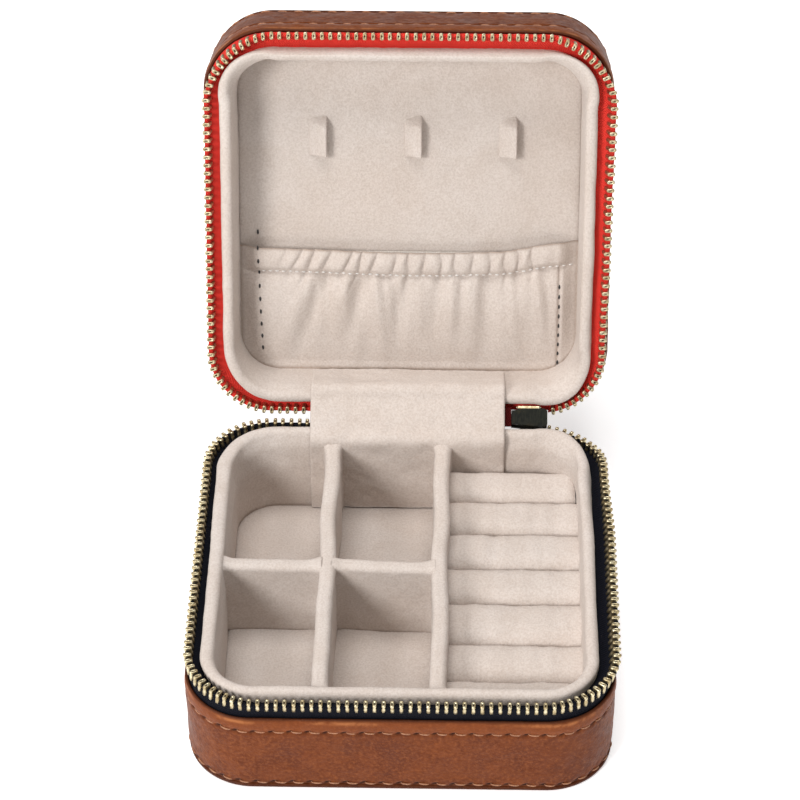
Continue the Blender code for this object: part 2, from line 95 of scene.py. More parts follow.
CASE_LOW, CASE_HIGH = extent("base_leather_side")
HALF_X = CASE_HIGH[0]
HALF_Y = CASE_HIGH[1]
LEATHER_TOP = CASE_HIGH[2]
LEATHER_LOW = CASE_LOW[2]
CORNER = 16.0
LINING_LOW, LINING_HIGH = extent("base_lining_wall")
LINING_X = LINING_HIGH[0]
LINING_Y = LINING_HIGH[1]
LINING_TOP = LINING_HIGH[2]
LINING_CORNER = 14.0
LINING_THICK = 3.6
INNER_X = LINING_X - LINING_THICK
INNER_Y = LINING_Y - LINING_THICK
INNER_CORNER = LINING_CORNER - LINING_THICK
TUCK = 0.25                    # how far soft parts run in under the lining
FLOOR_TOP = extent("base_floor_pad")[1][2]
PANEL_FACE = extent("lid_panel", OPEN)[0][2]
LID_TOP = extent("lid_leather_top", OPEN)[1][2]
LID_WALL_TOP = extent("lid_leather_side", OPEN)[1][2]
LEATHER = 1.1
LEATHER_LIP = 0.7              # the same leather where it is pared down along the zip
SHARP = math.radians(35)       # edges sharper than this are rounded


def mirrored(z):
    """The height in the lid that matches a height in the base."""
    return 2 * HINGE_Z - z


# ------------------------------------------------------------- number helpers

def bell(value, width):
    """1 where value is 0, falling to nothing over a few widths."""
    return np.exp(-(value / width) ** 2)


def smooth_step(value, low, high):
    """0 up to low, 1 from high on, and a soft rise between them."""
    share = np.clip((value - low) / (high - low), 0, 1)
    return share * share * (3 - 2 * share)


def squarish(value, power):
    """A sine or cosine blown up, so that the round section it draws turns squarish."""
    return np.sign(value) * np.abs(value) ** power


def field(points, wavelength, seed, waves=26):
    """Smooth random relief of about unit height, the same each run."""
    rng = np.random.default_rng(seed)
    total = np.zeros(points.shape[:-1])
    for _ in range(waves):
        direction = rng.normal(size=points.shape[-1])
        direction /= np.linalg.norm(direction)
        step = TAU / (wavelength * rng.uniform(0.65, 1.6))
        total += np.sin(points @ direction * step + rng.uniform(0, TAU))
    return total * math.sqrt(2 / waves)


def relief(points, seed, *layers):
    """Sum of smooth random reliefs, from (height, wavelength) layers with seeds in a row."""
    return sum(height * field(points, wavelength, seed + index)
               for index, (height, wavelength) in enumerate(layers))


class Route:
    """A rounded rectangle walked anticlockwise from the middle of its back, in mm."""

    def __init__(self, half_x, half_y, radius):
        self.half_x = half_x
        self.half_y = half_y
        self.radius = radius
        self.side_x = half_x - radius
        self.side_y = half_y - radius
        quarter = math.pi * radius / 2
        spans = [self.side_x, quarter, 2 * self.side_y, quarter, 2 * self.side_x, quarter,
                 2 * self.side_y, quarter, self.side_x]
        self.marks = np.concatenate([[0.0], np.cumsum(spans)])
        self.length = self.marks[-1]

    def at(self, distance):
        """Points (n, 2) and outward directions (n, 2) at distances along the route."""
        distance = np.mod(np.asarray(distance, float), self.length)
        spot = np.zeros((len(distance), 2))
        out = np.zeros((len(distance), 2))
        for index in range(9):
            chosen = (distance >= self.marks[index]) & (distance <= self.marks[index + 1])
            along = distance[chosen] - self.marks[index]
            corner = index // 2
            if index % 2:
                angle = math.radians(90 * corner + 90) + along / self.radius
                away = np.stack([np.cos(angle), np.sin(angle)], 1)
                middle = math.radians(90 * corner + 135)
                centre = np.array([np.sign(math.cos(middle)) * self.side_x,
                                   np.sign(math.sin(middle)) * self.side_y])
                spot[chosen] = centre + self.radius * away
                out[chosen] = away
                continue
            facing = math.radians(90 + 90 * corner)
            away = np.array([round(math.cos(facing)), round(math.sin(facing))])
            ahead = np.array([-away[1], away[0]])
            if index == 0:
                start = np.array([0.0, self.half_y])
            else:
                start = away * [self.half_x, self.half_y] - ahead * [self.side_x, self.side_y]
            spot[chosen] = start + along[:, None] * ahead
            out[chosen] = away
        return spot, out


CASE_ROUTE = Route(HALF_X, HALF_Y, CORNER)
LINING_ROUTE = Route(LINING_X, LINING_Y, LINING_CORNER)


# --------------------------------------------------------------- mesh helpers

def surface_normals(grid, wrap_u, wrap_v):
    """Unit normals of a grid of points."""
    def slope(axis, wrap):
        if wrap:
            return np.roll(grid, -1, axis) - np.roll(grid, 1, axis)
        return np.gradient(grid, axis=axis)
    normal = np.cross(slope(0, wrap_u), slope(1, wrap_v))
    return normal / np.maximum(np.linalg.norm(normal, axis=-1, keepdims=True), 1e-9)


def grid_faces(rows, columns, wrap_u, wrap_v):
    """Corner numbers and step numbers of the quads of a grid of vertices."""
    u = np.arange(rows if wrap_u else rows - 1)
    v = np.arange(columns if wrap_v else columns - 1)
    u, v = (item.ravel() for item in np.meshgrid(u, v, indexing="ij"))
    steps_u = np.stack([u, u + 1, u + 1, u], 1)
    steps_v = np.stack([v, v, v + 1, v + 1], 1)
    return (steps_u % rows) * columns + steps_v % columns, steps_u, steps_v


def add_attribute(mesh, name, values):
    """Store one number for each vertex, for a material to read."""
    attribute = mesh.attributes.new(name, "FLOAT", "POINT")
    attribute.data.foreach_set("value", np.asarray(values, np.float32).ravel())


def finish_mesh(name, vertices, faces, material, turn=0.0, smooth=True):
    """A mesh object from points in mm, swung open by turn."""
    mesh = bpy.data.meshes.new(name)
    placed = swing(vertices, turn) * MM
    mesh.from_pydata(placed.tolist(), [], faces)
    mesh.materials.append(MATERIALS[material])
    piece = bpy.data.objects.new(name, mesh)
    bpy.context.scene.collection.objects.link(piece)
    if smooth:
        mesh.shade_smooth()
    return piece


def grid_piece(name, grid, material, turn=0.0, wrap_u=False, wrap_v=False, caps="",
               flip=False, marks=None):
    """A piece from a grid of points (mm). caps may hold u and v, the ends to be closed."""
    rows, columns = grid.shape[:2]
    faces, steps_u, steps_v = grid_faces(rows, columns, wrap_u, wrap_v)
    if flip:
        faces = faces[:, ::-1]
        steps_u = steps_u[:, ::-1]
        steps_v = steps_v[:, ::-1]
    face_list = faces.tolist()
    numbers = np.arange(rows * columns).reshape(rows, columns)
    ends = {"u": (numbers[0][::-1], numbers[-1]), "v": (numbers[:, 0], numbers[:, -1][::-1])}
    for cap in caps:
        face_list += [(end[::-1] if flip else end).tolist() for end in ends[cap]]
    piece = finish_mesh(name, grid.reshape(-1, 3), face_list, material, turn)
    lengths_u = np.linalg.norm(np.diff(grid, axis=0, append=grid[:1]), axis=-1).mean(1)
    lengths_v = np.linalg.norm(np.diff(grid, axis=1, append=grid[:, :1]), axis=-1).mean(0)
    along_u = np.concatenate([[0], np.cumsum(lengths_u)]) * MM
    along_v = np.concatenate([[0], np.cumsum(lengths_v)]) * MM
    layer = piece.data.uv_layers.new(name="cloth")
    uv = np.zeros((len(piece.data.loops), 2), np.float32)
    uv[:faces.size] = np.stack([along_u[steps_u], along_v[steps_v]], -1).reshape(-1, 2)
    layer.data.foreach_set("uv", uv.ravel())
    for label, values in (marks or {}).items():
        add_attribute(piece.data, label, np.broadcast_to(values, grid.shape[:2]))
    return piece


def tube_faces(first, steps, ring):
    """Faces of a capped tube whose rings of vertices are numbered from first."""
    faces = []
    for step in range(steps - 1):
        for side in range(ring):
            here = first + step * ring + side
            beside = first + step * ring + (side + 1) % ring
            faces.append((here, beside, beside + ring, here + ring))
    faces.append(tuple(first + side for side in reversed(range(ring))))
    faces.append(tuple(first + (steps - 1) * ring + side for side in range(ring)))
    return faces


def soften(piece, width, segments):
    """Round the sharp edges of a piece that has plain CAD faces."""
    modifier = piece.modifiers.new("Soft edges", "BEVEL")
    modifier.width = width * MM
    modifier.segments = segments
    modifier.limit_method = "ANGLE"
    modifier.angle_limit = SHARP


def face_outwards(piece):
    """Make every face of a closed piece look away from its inside."""
    shell = bmesh.new()
    shell.from_mesh(piece.data)
    bmesh.ops.recalc_face_normals(shell, faces=shell.faces)
    shell.to_mesh(piece.data)
    shell.free()


def round_profile(corners, spacing):
    """Evenly spaced points on a polygon of (a, b, radius) with its corners rounded."""
    shape = []
    count = len(corners)
    for index, (a, b, radius) in enumerate(corners):
        here = np.array([a, b])
        before = np.array(corners[index - 1][:2]) - here
        after = np.array(corners[(index + 1) % count][:2]) - here
        if radius <= 0:
            shape.append(here)
            continue
        before /= np.linalg.norm(before)
        after /= np.linalg.norm(after)
        half = math.acos(np.clip(before @ after, -1, 1)) / 2
        reach = radius / math.tan(half)
        bisector = (before + after) / np.linalg.norm(before + after)
        centre = here + bisector * radius / math.sin(half)
        first = here + before * reach - centre
        last = here + after * reach - centre
        start = math.atan2(first[1], first[0])
        sweep = (math.atan2(last[1], last[0]) - start + math.pi) % TAU - math.pi
        steps = max(3, int(abs(sweep) * radius / spacing * 1.5) + 2)
        for step in range(steps + 1):
            angle = start + sweep * step / steps
            shape.append(centre + radius * np.array([math.cos(angle), math.sin(angle)]))
    closed = np.array(shape + [shape[0]])
    gaps = np.linalg.norm(np.diff(closed, axis=0), axis=1)
    along = np.concatenate([[0], np.cumsum(gaps)])
    wanted = np.linspace(0, along[-1], max(8, int(along[-1] / spacing)), endpoint=False)
    return np.stack([np.interp(wanted, along, closed[:, k]) for k in (0, 1)], 1)


def swept(route, distances, insets, heights):
    """Grid of points: a cross-section of (inset, height) carried along a route."""
    spot, out = route.at(distances)
    insets = np.broadcast_to(insets, (len(distances), np.shape(insets)[-1]))
    heights = np.broadcast_to(heights, insets.shape)
    flat = spot[:, None, :] - insets[..., None] * out[:, None, :]
    return np.concatenate([flat, heights[..., None]], -1)


def raised(grid, height, wrap_u, wrap_v, flip=False):
    """The grid pushed along its normals by height."""
    normal = surface_normals(grid, wrap_u, wrap_v)
    return grid + (-normal if flip else normal) * height[..., None]


def dome_grid(route, rings, heights, insets, around=320):
    """A filled outline: rings from its edge inwards, as (inset, height) pairs."""
    distances = np.linspace(0, route.length, around, endpoint=False)
    edge = swept(route, distances, np.array(insets), np.array(heights))
    low = edge[:, -1:, :].copy()
    shares = np.linspace(1, 0.02, rings)[1:]
    inner = low * [1, 1, 0] * shares[None, :, None] + low * [0, 0, 1]
    return np.concatenate([edge, inner], 1)


# ---------------------------------------------------------- material helpers

class Paint:
    """Builds one node material with short calls."""

    def __init__(self, name, colour, roughness, metallic=0.0):
        self.material = bpy.data.materials.new(name)
        self.material.use_nodes = True
        self.tree = self.material.node_tree
        self.shader = self.tree.nodes["Principled BSDF"]
        self.shader.inputs["Base Color"].default_value = (*colour, 1)
        self.shader.inputs["Roughness"].default_value = roughness
        self.shader.inputs["Metallic"].default_value = metallic
        self.place = self.tree.nodes.new("ShaderNodeTexCoord").outputs["Object"]
        self.cloth = self.tree.nodes.new("ShaderNodeUVMap")
        self.cloth.uv_map = "cloth"

    def wire(self, source, target):
        """Link a socket, or set a plain value."""
        if hasattr(source, "links"):
            self.tree.links.new(source, target)
        else:
            target.default_value = source

    def scaled(self, source, scale):
        """Coordinates stretched by a scale along each axis."""
        node = self.tree.nodes.new("ShaderNodeMapping")
        node.inputs["Scale"].default_value = scale
        self.wire(source, node.inputs["Vector"])
        return node.outputs["Vector"]

    def noise(self, size_mm, detail=2.0, vector=None, roughness=0.5, distortion=0.0):
        """Noise whose grains are about size_mm across."""
        node = self.tree.nodes.new("ShaderNodeTexNoise")
        node.inputs["Scale"].default_value = 0.6 / (size_mm * MM)
        node.inputs["Detail"].default_value = detail
        node.inputs["Roughness"].default_value = roughness
        node.inputs["Distortion"].default_value = distortion
        self.wire(vector or self.place, node.inputs["Vector"])
        return node.outputs["Fac"]

    def cracks(self, size_mm):
        """Distance to the edges of random cells about size_mm across."""
        node = self.tree.nodes.new("ShaderNodeTexVoronoi")
        node.feature = "DISTANCE_TO_EDGE"
        node.inputs["Scale"].default_value = 1 / (size_mm * MM)
        self.wire(self.place, node.inputs["Vector"])
        return node.outputs["Distance"]

    def mark(self, name):
        """A number that grid_piece stored on the vertices."""
        node = self.tree.nodes.new("ShaderNodeAttribute")
        node.attribute_name = name
        return node.outputs["Fac"]

    def math(self, operation, first, second=0.0):
        """One Math node."""
        node = self.tree.nodes.new("ShaderNodeMath")
        node.operation = operation
        self.wire(first, node.inputs[0])
        self.wire(second, node.inputs[1])
        return node.outputs[0]

    def spread(self, value, low, high, to_low=0.0, to_high=1.0):
        """value between low and high, stretched to the new range and held there."""
        node = self.tree.nodes.new("ShaderNodeMapRange")
        for label, number in (("From Min", low), ("From Max", high), ("To Min", to_low),
                              ("To Max", to_high)):
            node.inputs[label].default_value = number
        self.wire(value, node.inputs["Value"])
        return node.outputs["Result"]

    def mix(self, share, first, second, blend="MIX"):
        """Colour between first and second."""
        node = self.tree.nodes.new("ShaderNodeMix")
        node.data_type = "RGBA"
        node.blend_type = blend
        self.wire(share, node.inputs["Factor"])
        for colour, target in ((first, node.inputs["A"]), (second, node.inputs["B"])):
            self.wire((*colour, 1) if isinstance(colour, tuple) else colour, target)
        return node.outputs["Result"]

    def relief(self, *layers):
        """Bump from (height, depth in mm) layers."""
        normal = None
        for height, depth in layers:
            node = self.tree.nodes.new("ShaderNodeBump")
            node.inputs["Distance"].default_value = depth * MM
            node.inputs["Strength"].default_value = 1.0
            self.wire(height, node.inputs["Height"])
            if normal is not None:
                self.wire(normal, node.inputs["Normal"])
            normal = node.outputs["Normal"]
        self.wire(normal, self.shader.inputs["Normal"])

    def colour(self, source):
        """Wire the base colour."""
        self.wire(source, self.shader.inputs["Base Color"])

    def rough(self, source):
        """Wire the roughness."""
        self.wire(source, self.shader.inputs["Roughness"])

    def set(self, **sockets):
        """Set sockets of the shader that are the same all over."""
        for label, value in sockets.items():
            self.shader.inputs[label.replace("_", " ")].default_value = value


def velvet():
    """Short-napped beige suede cloth: speckle, brushed patches, a soft sheen and painted shade where
    parts meet.
    """
    paint = Paint("beige_velvet", (0.57, 0.50, 0.44), 0.95)
    fibres = paint.noise(0.30, 3.0, roughness=0.7)
    flecks = paint.noise(1.0, 2.0)
    patches = paint.noise(7.0, 3.0, distortion=0.6)
    drift = paint.noise(30.0, 1.0)
    tone = paint.mix(paint.spread(patches, 0.34, 0.66),
                     (0.560, 0.489, 0.440), (0.605, 0.542, 0.499))
    tone = paint.mix(paint.spread(drift, 0.35, 0.65, 0.0, 0.45), tone, (0.590, 0.500, 0.440))
    tone = paint.mix(paint.spread(flecks, 0.35, 0.7, 0.0, 0.20), tone, (0.640, 0.575, 0.525))
    dark = paint.mix(1.0, tone, (0.86, 0.835, 0.815), "MULTIPLY")
    tone = paint.mix(paint.spread(fibres, 0.38, 0.60), dark, tone)
    # painted shade: darkens the velvet along the feet of walls and dividers and round the pocket's
    # mouth, foot and sides
    shadow = paint.spread(paint.mark("painted_shade"), 0.0, 1.0, 0.0, 0.75)
    tone = paint.mix(shadow, tone, (0.24, 0.165, 0.12))
    paint.colour(tone)
    paint.set(Sheen_Weight=0.18, Sheen_Roughness=0.5, Specular_IOR_Level=0.10)
    paint.shader.inputs["Sheen Tint"].default_value = (1.0, 0.96, 0.92, 1)
    paint.relief((flecks, 0.04), (fibres, 0.15))
    return paint.material


def leather():
    """Waxed cognac leather: cloudy tan and brown, pores, creases and dark cut edges."""
    paint = Paint("cognac_leather", (0.17, 0.045, 0.013), 0.42)
    clouds = paint.noise(5.0, 4.0, roughness=0.6, distortion=0.6)
    blotches = paint.noise(1.2, 3.0, distortion=0.4)
    speckle = paint.noise(0.5, 3.0, roughness=0.6)
    pores = paint.noise(0.33, 2.0)
    creases = paint.cracks(1.15)
    tone = paint.mix(paint.spread(clouds, 0.34, 0.68),
                     (0.108, 0.0235, 0.0052), (0.165, 0.0405, 0.0090))
    tone = paint.mix(paint.spread(blotches, 0.48, 0.72, 0.0, 0.50), tone, (0.080, 0.0165, 0.0040))
    tone = paint.mix(paint.spread(speckle, 0.50, 0.68, 0.0, 0.60), tone, (0.235, 0.068, 0.018))
    tone = paint.mix(paint.spread(speckle, 0.30, 0.46, 0.40, 0.0), tone, (0.070, 0.0140, 0.0035))
    tone = paint.mix(paint.spread(paint.mark("band"), 0, 1, 0.0, 0.45), tone, (0.215, 0.052, 0.009))
    wear_and_shade = paint.math("MULTIPLY", paint.mark("wear_and_shade"), paint.spread(blotches, 0.35, 0.6))
    tone = paint.mix(wear_and_shade, tone, (0.36, 0.125, 0.040))
    cut = paint.spread(paint.mark("edge"), 0, 1, 0.0, 0.80)
    tone = paint.mix(cut, tone, (0.045, 0.013, 0.006))
    # painted shade in the needle holes, darkened nearly to black
    hole = paint.spread(paint.mark("hole"), 0.15, 0.75, 0.0, 0.92)
    tone = paint.mix(hole, tone, (0.018, 0.006, 0.004))
    paint.colour(tone)
    paint.rough(paint.spread(paint.math("ADD", clouds, blotches), 0.7, 1.3, 0.40, 0.62))
    paint.set(Specular_IOR_Level=0.12)
    paint.relief((paint.spread(creases, 0.0, 0.16), 0.03), (pores, 0.05), (blotches, 0.05))
    return paint.material


def zip_tape(name, dark, light, shade):
    """Woven zip tape: a herringbone of slanting ribs that turn over every few threads."""
    paint = Paint(name, light, 0.8)
    turn_over = 1.1 * MM
    rib = 0.62 * MM
    thread_width = 0.30 * MM
    parts = paint.tree.nodes.new("ShaderNodeSeparateXYZ")
    paint.wire(paint.cloth.outputs["UV"], parts.inputs[0])
    along, across = parts.outputs["X"], parts.outputs["Y"]
    folded = paint.math("PINGPONG", across, turn_over)
    slant = paint.math("ADD", along, folded)
    ribs = paint.math("SINE", paint.math("MULTIPLY", slant, TAU / rib))
    threads = paint.math("SINE", paint.math("MULTIPLY", across, TAU / thread_width))
    weave = paint.math("ADD", ribs, paint.math("MULTIPLY", threads, 0.35))
    fuzz = paint.noise(0.25, 2.0)
    tone = paint.mix(paint.spread(weave, -1.0, 1.1), dark, light)
    tone = paint.mix(paint.spread(fuzz, 0.35, 0.7, 0.0, 0.6), tone, shade)
    paint.colour(tone)
    paint.set(Specular_IOR_Level=0.06)
    paint.relief((weave, 0.07), (fuzz, 0.05))
    return paint.material


def brass():
    """Antique brass of the teeth: polished faces, brown stains, and painted shade in the hollow tips
    and at the roots of the teeth.
    """
    paint = Paint("zip_brass", (0.55, 0.47, 0.30), 0.36, 1.0)
    stains = paint.noise(0.7, 3.0)
    grain = paint.noise(0.12, 2.0)
    tone = paint.mix(paint.spread(stains, 0.38, 0.66), (0.66, 0.585, 0.395), (0.40, 0.31, 0.165))
    # painted shade: near black in the hollow tip of each tooth and where it sits on the tape
    hollow_shade_share = paint.spread(paint.mark("hollow_shade"), 0, 1, 0.0, 0.95)
    tone = paint.mix(hollow_shade_share, tone, (0.045, 0.030, 0.014))
    paint.colour(tone)
    paint.rough(paint.spread(stains, 0.3, 0.7, 0.30, 0.50))
    paint.relief((grain, 0.02), (stains, 0.03))
    return paint.material


def dark_brass():
    """The slider's body: near black, finely brushed from top to bottom."""
    paint = Paint("dark_brass", (0.02, 0.021, 0.016), 0.42, 0.25)
    brushed = paint.noise(0.22, 2.0, paint.scaled(paint.place, (1.0, 0.22, 0.22)))
    stains = paint.noise(1.6, 2.0)
    tone = paint.mix(paint.spread(brushed, 0.35, 0.68),
                     (0.005, 0.0055, 0.004), (0.016, 0.016, 0.011))
    tone = paint.mix(paint.spread(stains, 0.62, 0.8, 0.0, 0.3), tone, (0.05, 0.036, 0.014))
    paint.colour(tone)
    paint.rough(paint.spread(brushed, 0.3, 0.7, 0.35, 0.6))
    paint.set(Specular_IOR_Level=0.12)
    paint.relief((brushed, 0.03), (stains, 0.03))
    return paint.material


def thread(name, light, dark):
    """Twisted sewing thread."""
    paint = Paint(name, light, 0.7)
    plies = paint.noise(0.22, 2.0, distortion=0.5)
    paint.colour(paint.mix(paint.spread(plies, 0.35, 0.65), dark, light))
    paint.set(Sheen_Weight=0.2)
    paint.relief((plies, 0.05))
    return paint.material


def elastic():
    """Covered elastic: ribs across a pale knitted band."""
    paint = Paint("elastic_band", (0.7, 0.66, 0.6), 0.9)
    ribs = paint.noise(0.3, 2.0, paint.scaled(paint.place, (4.0, 1.0, 1.0)))
    paint.colour(paint.mix(paint.spread(ribs, 0.35, 0.65), (0.55, 0.50, 0.45), (0.76, 0.72, 0.66)))
    paint.relief((ribs, 0.12))
    return paint.material


def board():
    """Grey-brown pressed board of the case's core."""
    paint = Paint("core_board", (0.35, 0.31, 0.26), 0.9)
    fibres = paint.noise(0.5, 4.0, distortion=1.5)
    paint.colour(paint.mix(paint.spread(fibres, 0.35, 0.65), (0.27, 0.23, 0.19), (0.42, 0.38, 0.32)))
    paint.relief((fibres, 0.08))
    return paint.material


def studio_floor():
    """Plain pale floor, lit a little from within so that it stays white."""
    paint = Paint("studio_floor", (0.93, 0.93, 0.93), 0.9)
    paint.colour(paint.mix(paint.noise(60.0), (0.92, 0.92, 0.92), (0.94, 0.94, 0.94)))
    paint.set(Specular_IOR_Level=0.1, Emission_Strength=0.50)
    paint.shader.inputs["Emission Color"].default_value = (1, 1, 1, 1)
    return paint.material


MATERIALS = {
    "velvet": velvet(),
    "leather": leather(),
    "navy": zip_tape("navy_tape", (0.0030, 0.0031, 0.005), (0.012, 0.0130, 0.021),
                     (0.006, 0.0063, 0.010)),
    "red": zip_tape("red_tape", (0.56, 0.022, 0.016), (0.84, 0.070, 0.052), (0.73, 0.042, 0.031)),
    # a darker copy of the red tape: painted shade for the tape ends that lie in shadow beside the
    # slider
    "shaded_red": zip_tape("shaded_red_tape", (0.045, 0.004, 0.004), (0.12, 0.010, 0.009),
                       (0.07, 0.006, 0.006)),
    "brass": brass(),
    "dark_brass": dark_brass(),
    "tan_thread": thread("tan_thread", (0.44, 0.20, 0.095), (0.26, 0.10, 0.042)),
    "white_thread": thread("white_thread", (0.88, 0.86, 0.83), (0.66, 0.62, 0.58)),
    "black_thread": thread("black_thread", (0.030, 0.026, 0.024), (0.010, 0.009, 0.009)),
    "elastic": elastic(),
    "board": board(),
    "floor": studio_floor(),
}


def attach(piece, body, slot, *nodes):
    """Ride piece on body and hide the CAD nodes it stands for. The slot argument is not used."""
    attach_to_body(piece, body)
    if nodes:
        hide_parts(*nodes)
    return piece


# --------------------------------------------------------------- leather shell

STITCH_PITCH = 4.2
STITCH_LENGTH = 2.6
STITCH_THICK = 0.21
BASE_SEAMS = (19.2, 2.0)       # heights of the upper and lower rows of stitches
LID_SEAMS = (40.0, LID_TOP - 2.3)      # heights in the shut case, from the zip upwards
SEAM_DEPTHS = (0.20, 0.12)
HOLE_DEPTH = 0.42
PANEL_GAP = 0.15               # between a leather wall and the panel that closes it


def stitch_places():
    """Where the stitches of a row start, along the case's outline."""
    count = round(CASE_ROUTE.length / STITCH_PITCH)
    return np.arange(count) * CASE_ROUTE.length / count


def hole_marks(distances, heights, seam):
    """How near each point of a wall is to a needle hole, from 0 to 1."""
    near = np.zeros((len(distances), len(heights)))
    total = CASE_ROUTE.length
    close = np.abs(heights - seam) < 2.0
    for start in stitch_places():
        gap = (distances - start + total / 2) % total - total / 2
        around = np.abs(gap) < 2.5
        along = gap[around][:, None]
        up = heights[close][None, :] - seam
        slanted = up - 0.20 - 0.35 * along
        spot = bell(along, 0.85) * bell(slanted, 0.42)
        block = near[np.ix_(around, close)]
        near[np.ix_(around, close)] = np.maximum(block, spot)
    return near


def leather_wall(name, low, high, seams, edge_up, turn, body, node):
    """The upright leather of the base or lid: folded edge, stitch grooves, creases."""
    around = int(CASE_ROUTE.length / 0.42)
    distances = np.linspace(0, CASE_ROUTE.length, around, endpoint=False)
    edge = high if edge_up else low
    other = low + high - edge
    away = 1 if edge_up else -1
    section = round_profile([(0, other, 0.5), (LEATHER, other, 0.3),
                             (LEATHER, edge - 2.0 * away, 1.0),
                             (LEATHER_LIP, edge - 1.0 * away, 1.0), (LEATHER_LIP, edge, 0.3),
                             (0, edge, 0.35)], 0.34)
    if not edge_up:
        section = section[::-1]
    grid = swept(CASE_ROUTE, distances, section[:, 0], section[:, 1])
    heights = section[:, 1]
    outer = smooth_step(-section[:, 0], -0.75, -0.3)[None, :]
    rows = np.zeros(grid.shape[:2])
    holes = np.zeros(grid.shape[:2])
    for seam, depth in zip(seams, SEAM_DEPTHS):
        near = hole_marks(distances, heights, seam) * outer
        holes = np.maximum(holes, near)
        rows += -depth * bell(heights - seam, 0.5)[None, :] - HOLE_DEPTH * near
    seam = seams[0]
    share = np.clip((heights - seam) / (edge - seam), 0, 1)
    band = (share > 0) * outer
    crown = 0.22 * np.sin(math.pi * share) * outer
    middle = (low + high) / 2
    belly = 0.20 * np.clip(1 - ((heights - middle) / (0.55 * (high - low))) ** 2, 0, 1)
    height = rows * outer + crown + belly * outer
    height = height + relief(grid, 11, (0.05, 8.0), (0.015, 2.2)) * outer
    lip = bell(heights - edge, 0.42)[None, :] + 0.7 * bell(heights - other, 0.4)
    wear_and_shade = bell(heights - (edge - 0.9 * np.sign(edge - seam)), 0.45)[None, :] * outer
    wear_and_shade = wear_and_shade * np.clip(0.5 + 0.8 * field(grid, 14.0, 13), 0, 1)
    grid = raised(grid, height, True, True, flip=True)
    piece = grid_piece(name, grid, "leather", turn, True, True, flip=True,
                       marks={"hole": holes, "edge": np.clip(lip, 0, 1), "band": band,
                              "wear_and_shade": np.clip(wear_and_shade, 0, 1)})
    return attach(piece, body, "cognac_leather", node)


def stitch_row(name, seam, body, turn):
    """A row of short slanting stitches round the case, each ending in its hole."""
    ring = 7
    steps = 9
    share = np.linspace(0, 1, steps)
    rng = np.random.default_rng(int(seam * 10))
    vertices = []
    faces = []
    for start in stitch_places():
        length = STITCH_LENGTH + rng.uniform(-0.2, 0.15)
        along = start + 0.40 + length * share
        up = seam + (0.16 - 0.20 * share) + rng.uniform(-0.06, 0.06)
        out = -0.34 + 0.40 * np.sin(math.pi * share) ** 0.25
        spot, away = CASE_ROUTE.at(along)
        thick = STITCH_THICK * np.sin(math.pi * np.clip(share, 0.06, 0.94)) ** 0.35
        faces += tube_faces(len(vertices), steps, ring)
        for step in range(steps):
            for side in range(ring):
                angle = TAU * side / ring
                outward = out[step] + thick[step] * math.cos(angle)
                height = up[step] + thick[step] * math.sin(angle)
                vertices.append((*(spot[step] + away[step] * outward), height))
    piece = finish_mesh(name, np.array(vertices), faces, "tan_thread", turn)
    return attach(piece, body, "cognac_leather")


def leather_panel(name, outer_z, inner_z, turn, body, node, crown):
    """The base's bottom or the lid's top: a padded leather panel with a rolled edge."""
    around = 560
    sign = 1 if outer_z > inner_z else -1
    insets = [LEATHER, 0.35, 0.08, 0.0, 0.06, 0.30, 0.75, 1.4, 2.2, 3.2, 4.6, 6.5, 9.0, 12.0]
    edge = [inner_z, inner_z, inner_z + 0.18 * sign, inner_z + 0.42 * sign,
            outer_z - 0.36 * sign, outer_z - 0.12 * sign, outer_z - 0.02 * sign]
    edge += [outer_z - 0.10 * sign] * (len(insets) - len(edge))
    top = dome_grid(CASE_ROUTE, 46, edge, insets, around)
    reach = np.linspace(0, 1, top.shape[1])
    rise = crown * sign * smooth_step(reach, 0.08, 0.6)[None, :]
    rough = smooth_step(reach, 0.03, 0.15)[None, :]
    grain = relief(top, 21, (0.05, 9.0), (0.02, 2.5)) * rough
    groove = -0.22 * sign * bell(reach - reach[8], 0.012)[None, :]
    top[..., 2] += rise + grain + groove
    lip = bell(reach - reach[3], 0.03)[None, :]
    under = swept(CASE_ROUTE, np.linspace(0, CASE_ROUTE.length, around, endpoint=False),
                  np.array([LEATHER]), np.array([inner_z]))
    grid = np.concatenate([under, top[:, 1:]], 1)
    piece = grid_piece(name, grid, "leather", turn, True, False, caps="v", flip=sign < 0,
                       marks={"edge": np.broadcast_to(lip, grid.shape[:2]), "hole": 0.0,
                              "band": 0.0, "wear_and_shade": 0.0})
    face_outwards(piece)
    return attach(piece, body, "cognac_leather", node)


def leather_parts():
    """The leather walls, their stitches, and the bottom and top panels."""
    leather_wall("base_leather_sleeve", LEATHER_LOW, LEATHER_TOP, BASE_SEAMS, True, 0.0, "base",
                 "base_leather_side")
    leather_wall("lid_leather_sleeve", mirrored(LEATHER_TOP), LID_WALL_TOP, LID_SEAMS, False,
                 OPEN, "lid", "lid_leather_side")
    stitch_row("base_stitches_upper", BASE_SEAMS[0], "base", 0.0)
    stitch_row("base_stitches_lower", BASE_SEAMS[1], "base", 0.0)
    stitch_row("lid_stitches_lower", LID_SEAMS[0], "lid", OPEN)
    stitch_row("lid_stitches_upper", LID_SEAMS[1], "lid", OPEN)
    leather_panel("base_leather_foot", 0.0, LEATHER_LOW - PANEL_GAP, 0.0, "base",
                  "base_leather_bottom", 0.0)
    leather_panel("lid_leather_crown", LID_TOP, LID_WALL_TOP + PANEL_GAP, OPEN, "lid",
                  "lid_leather_top", 0.5)


# ------------------------------------------------------------------------ zip

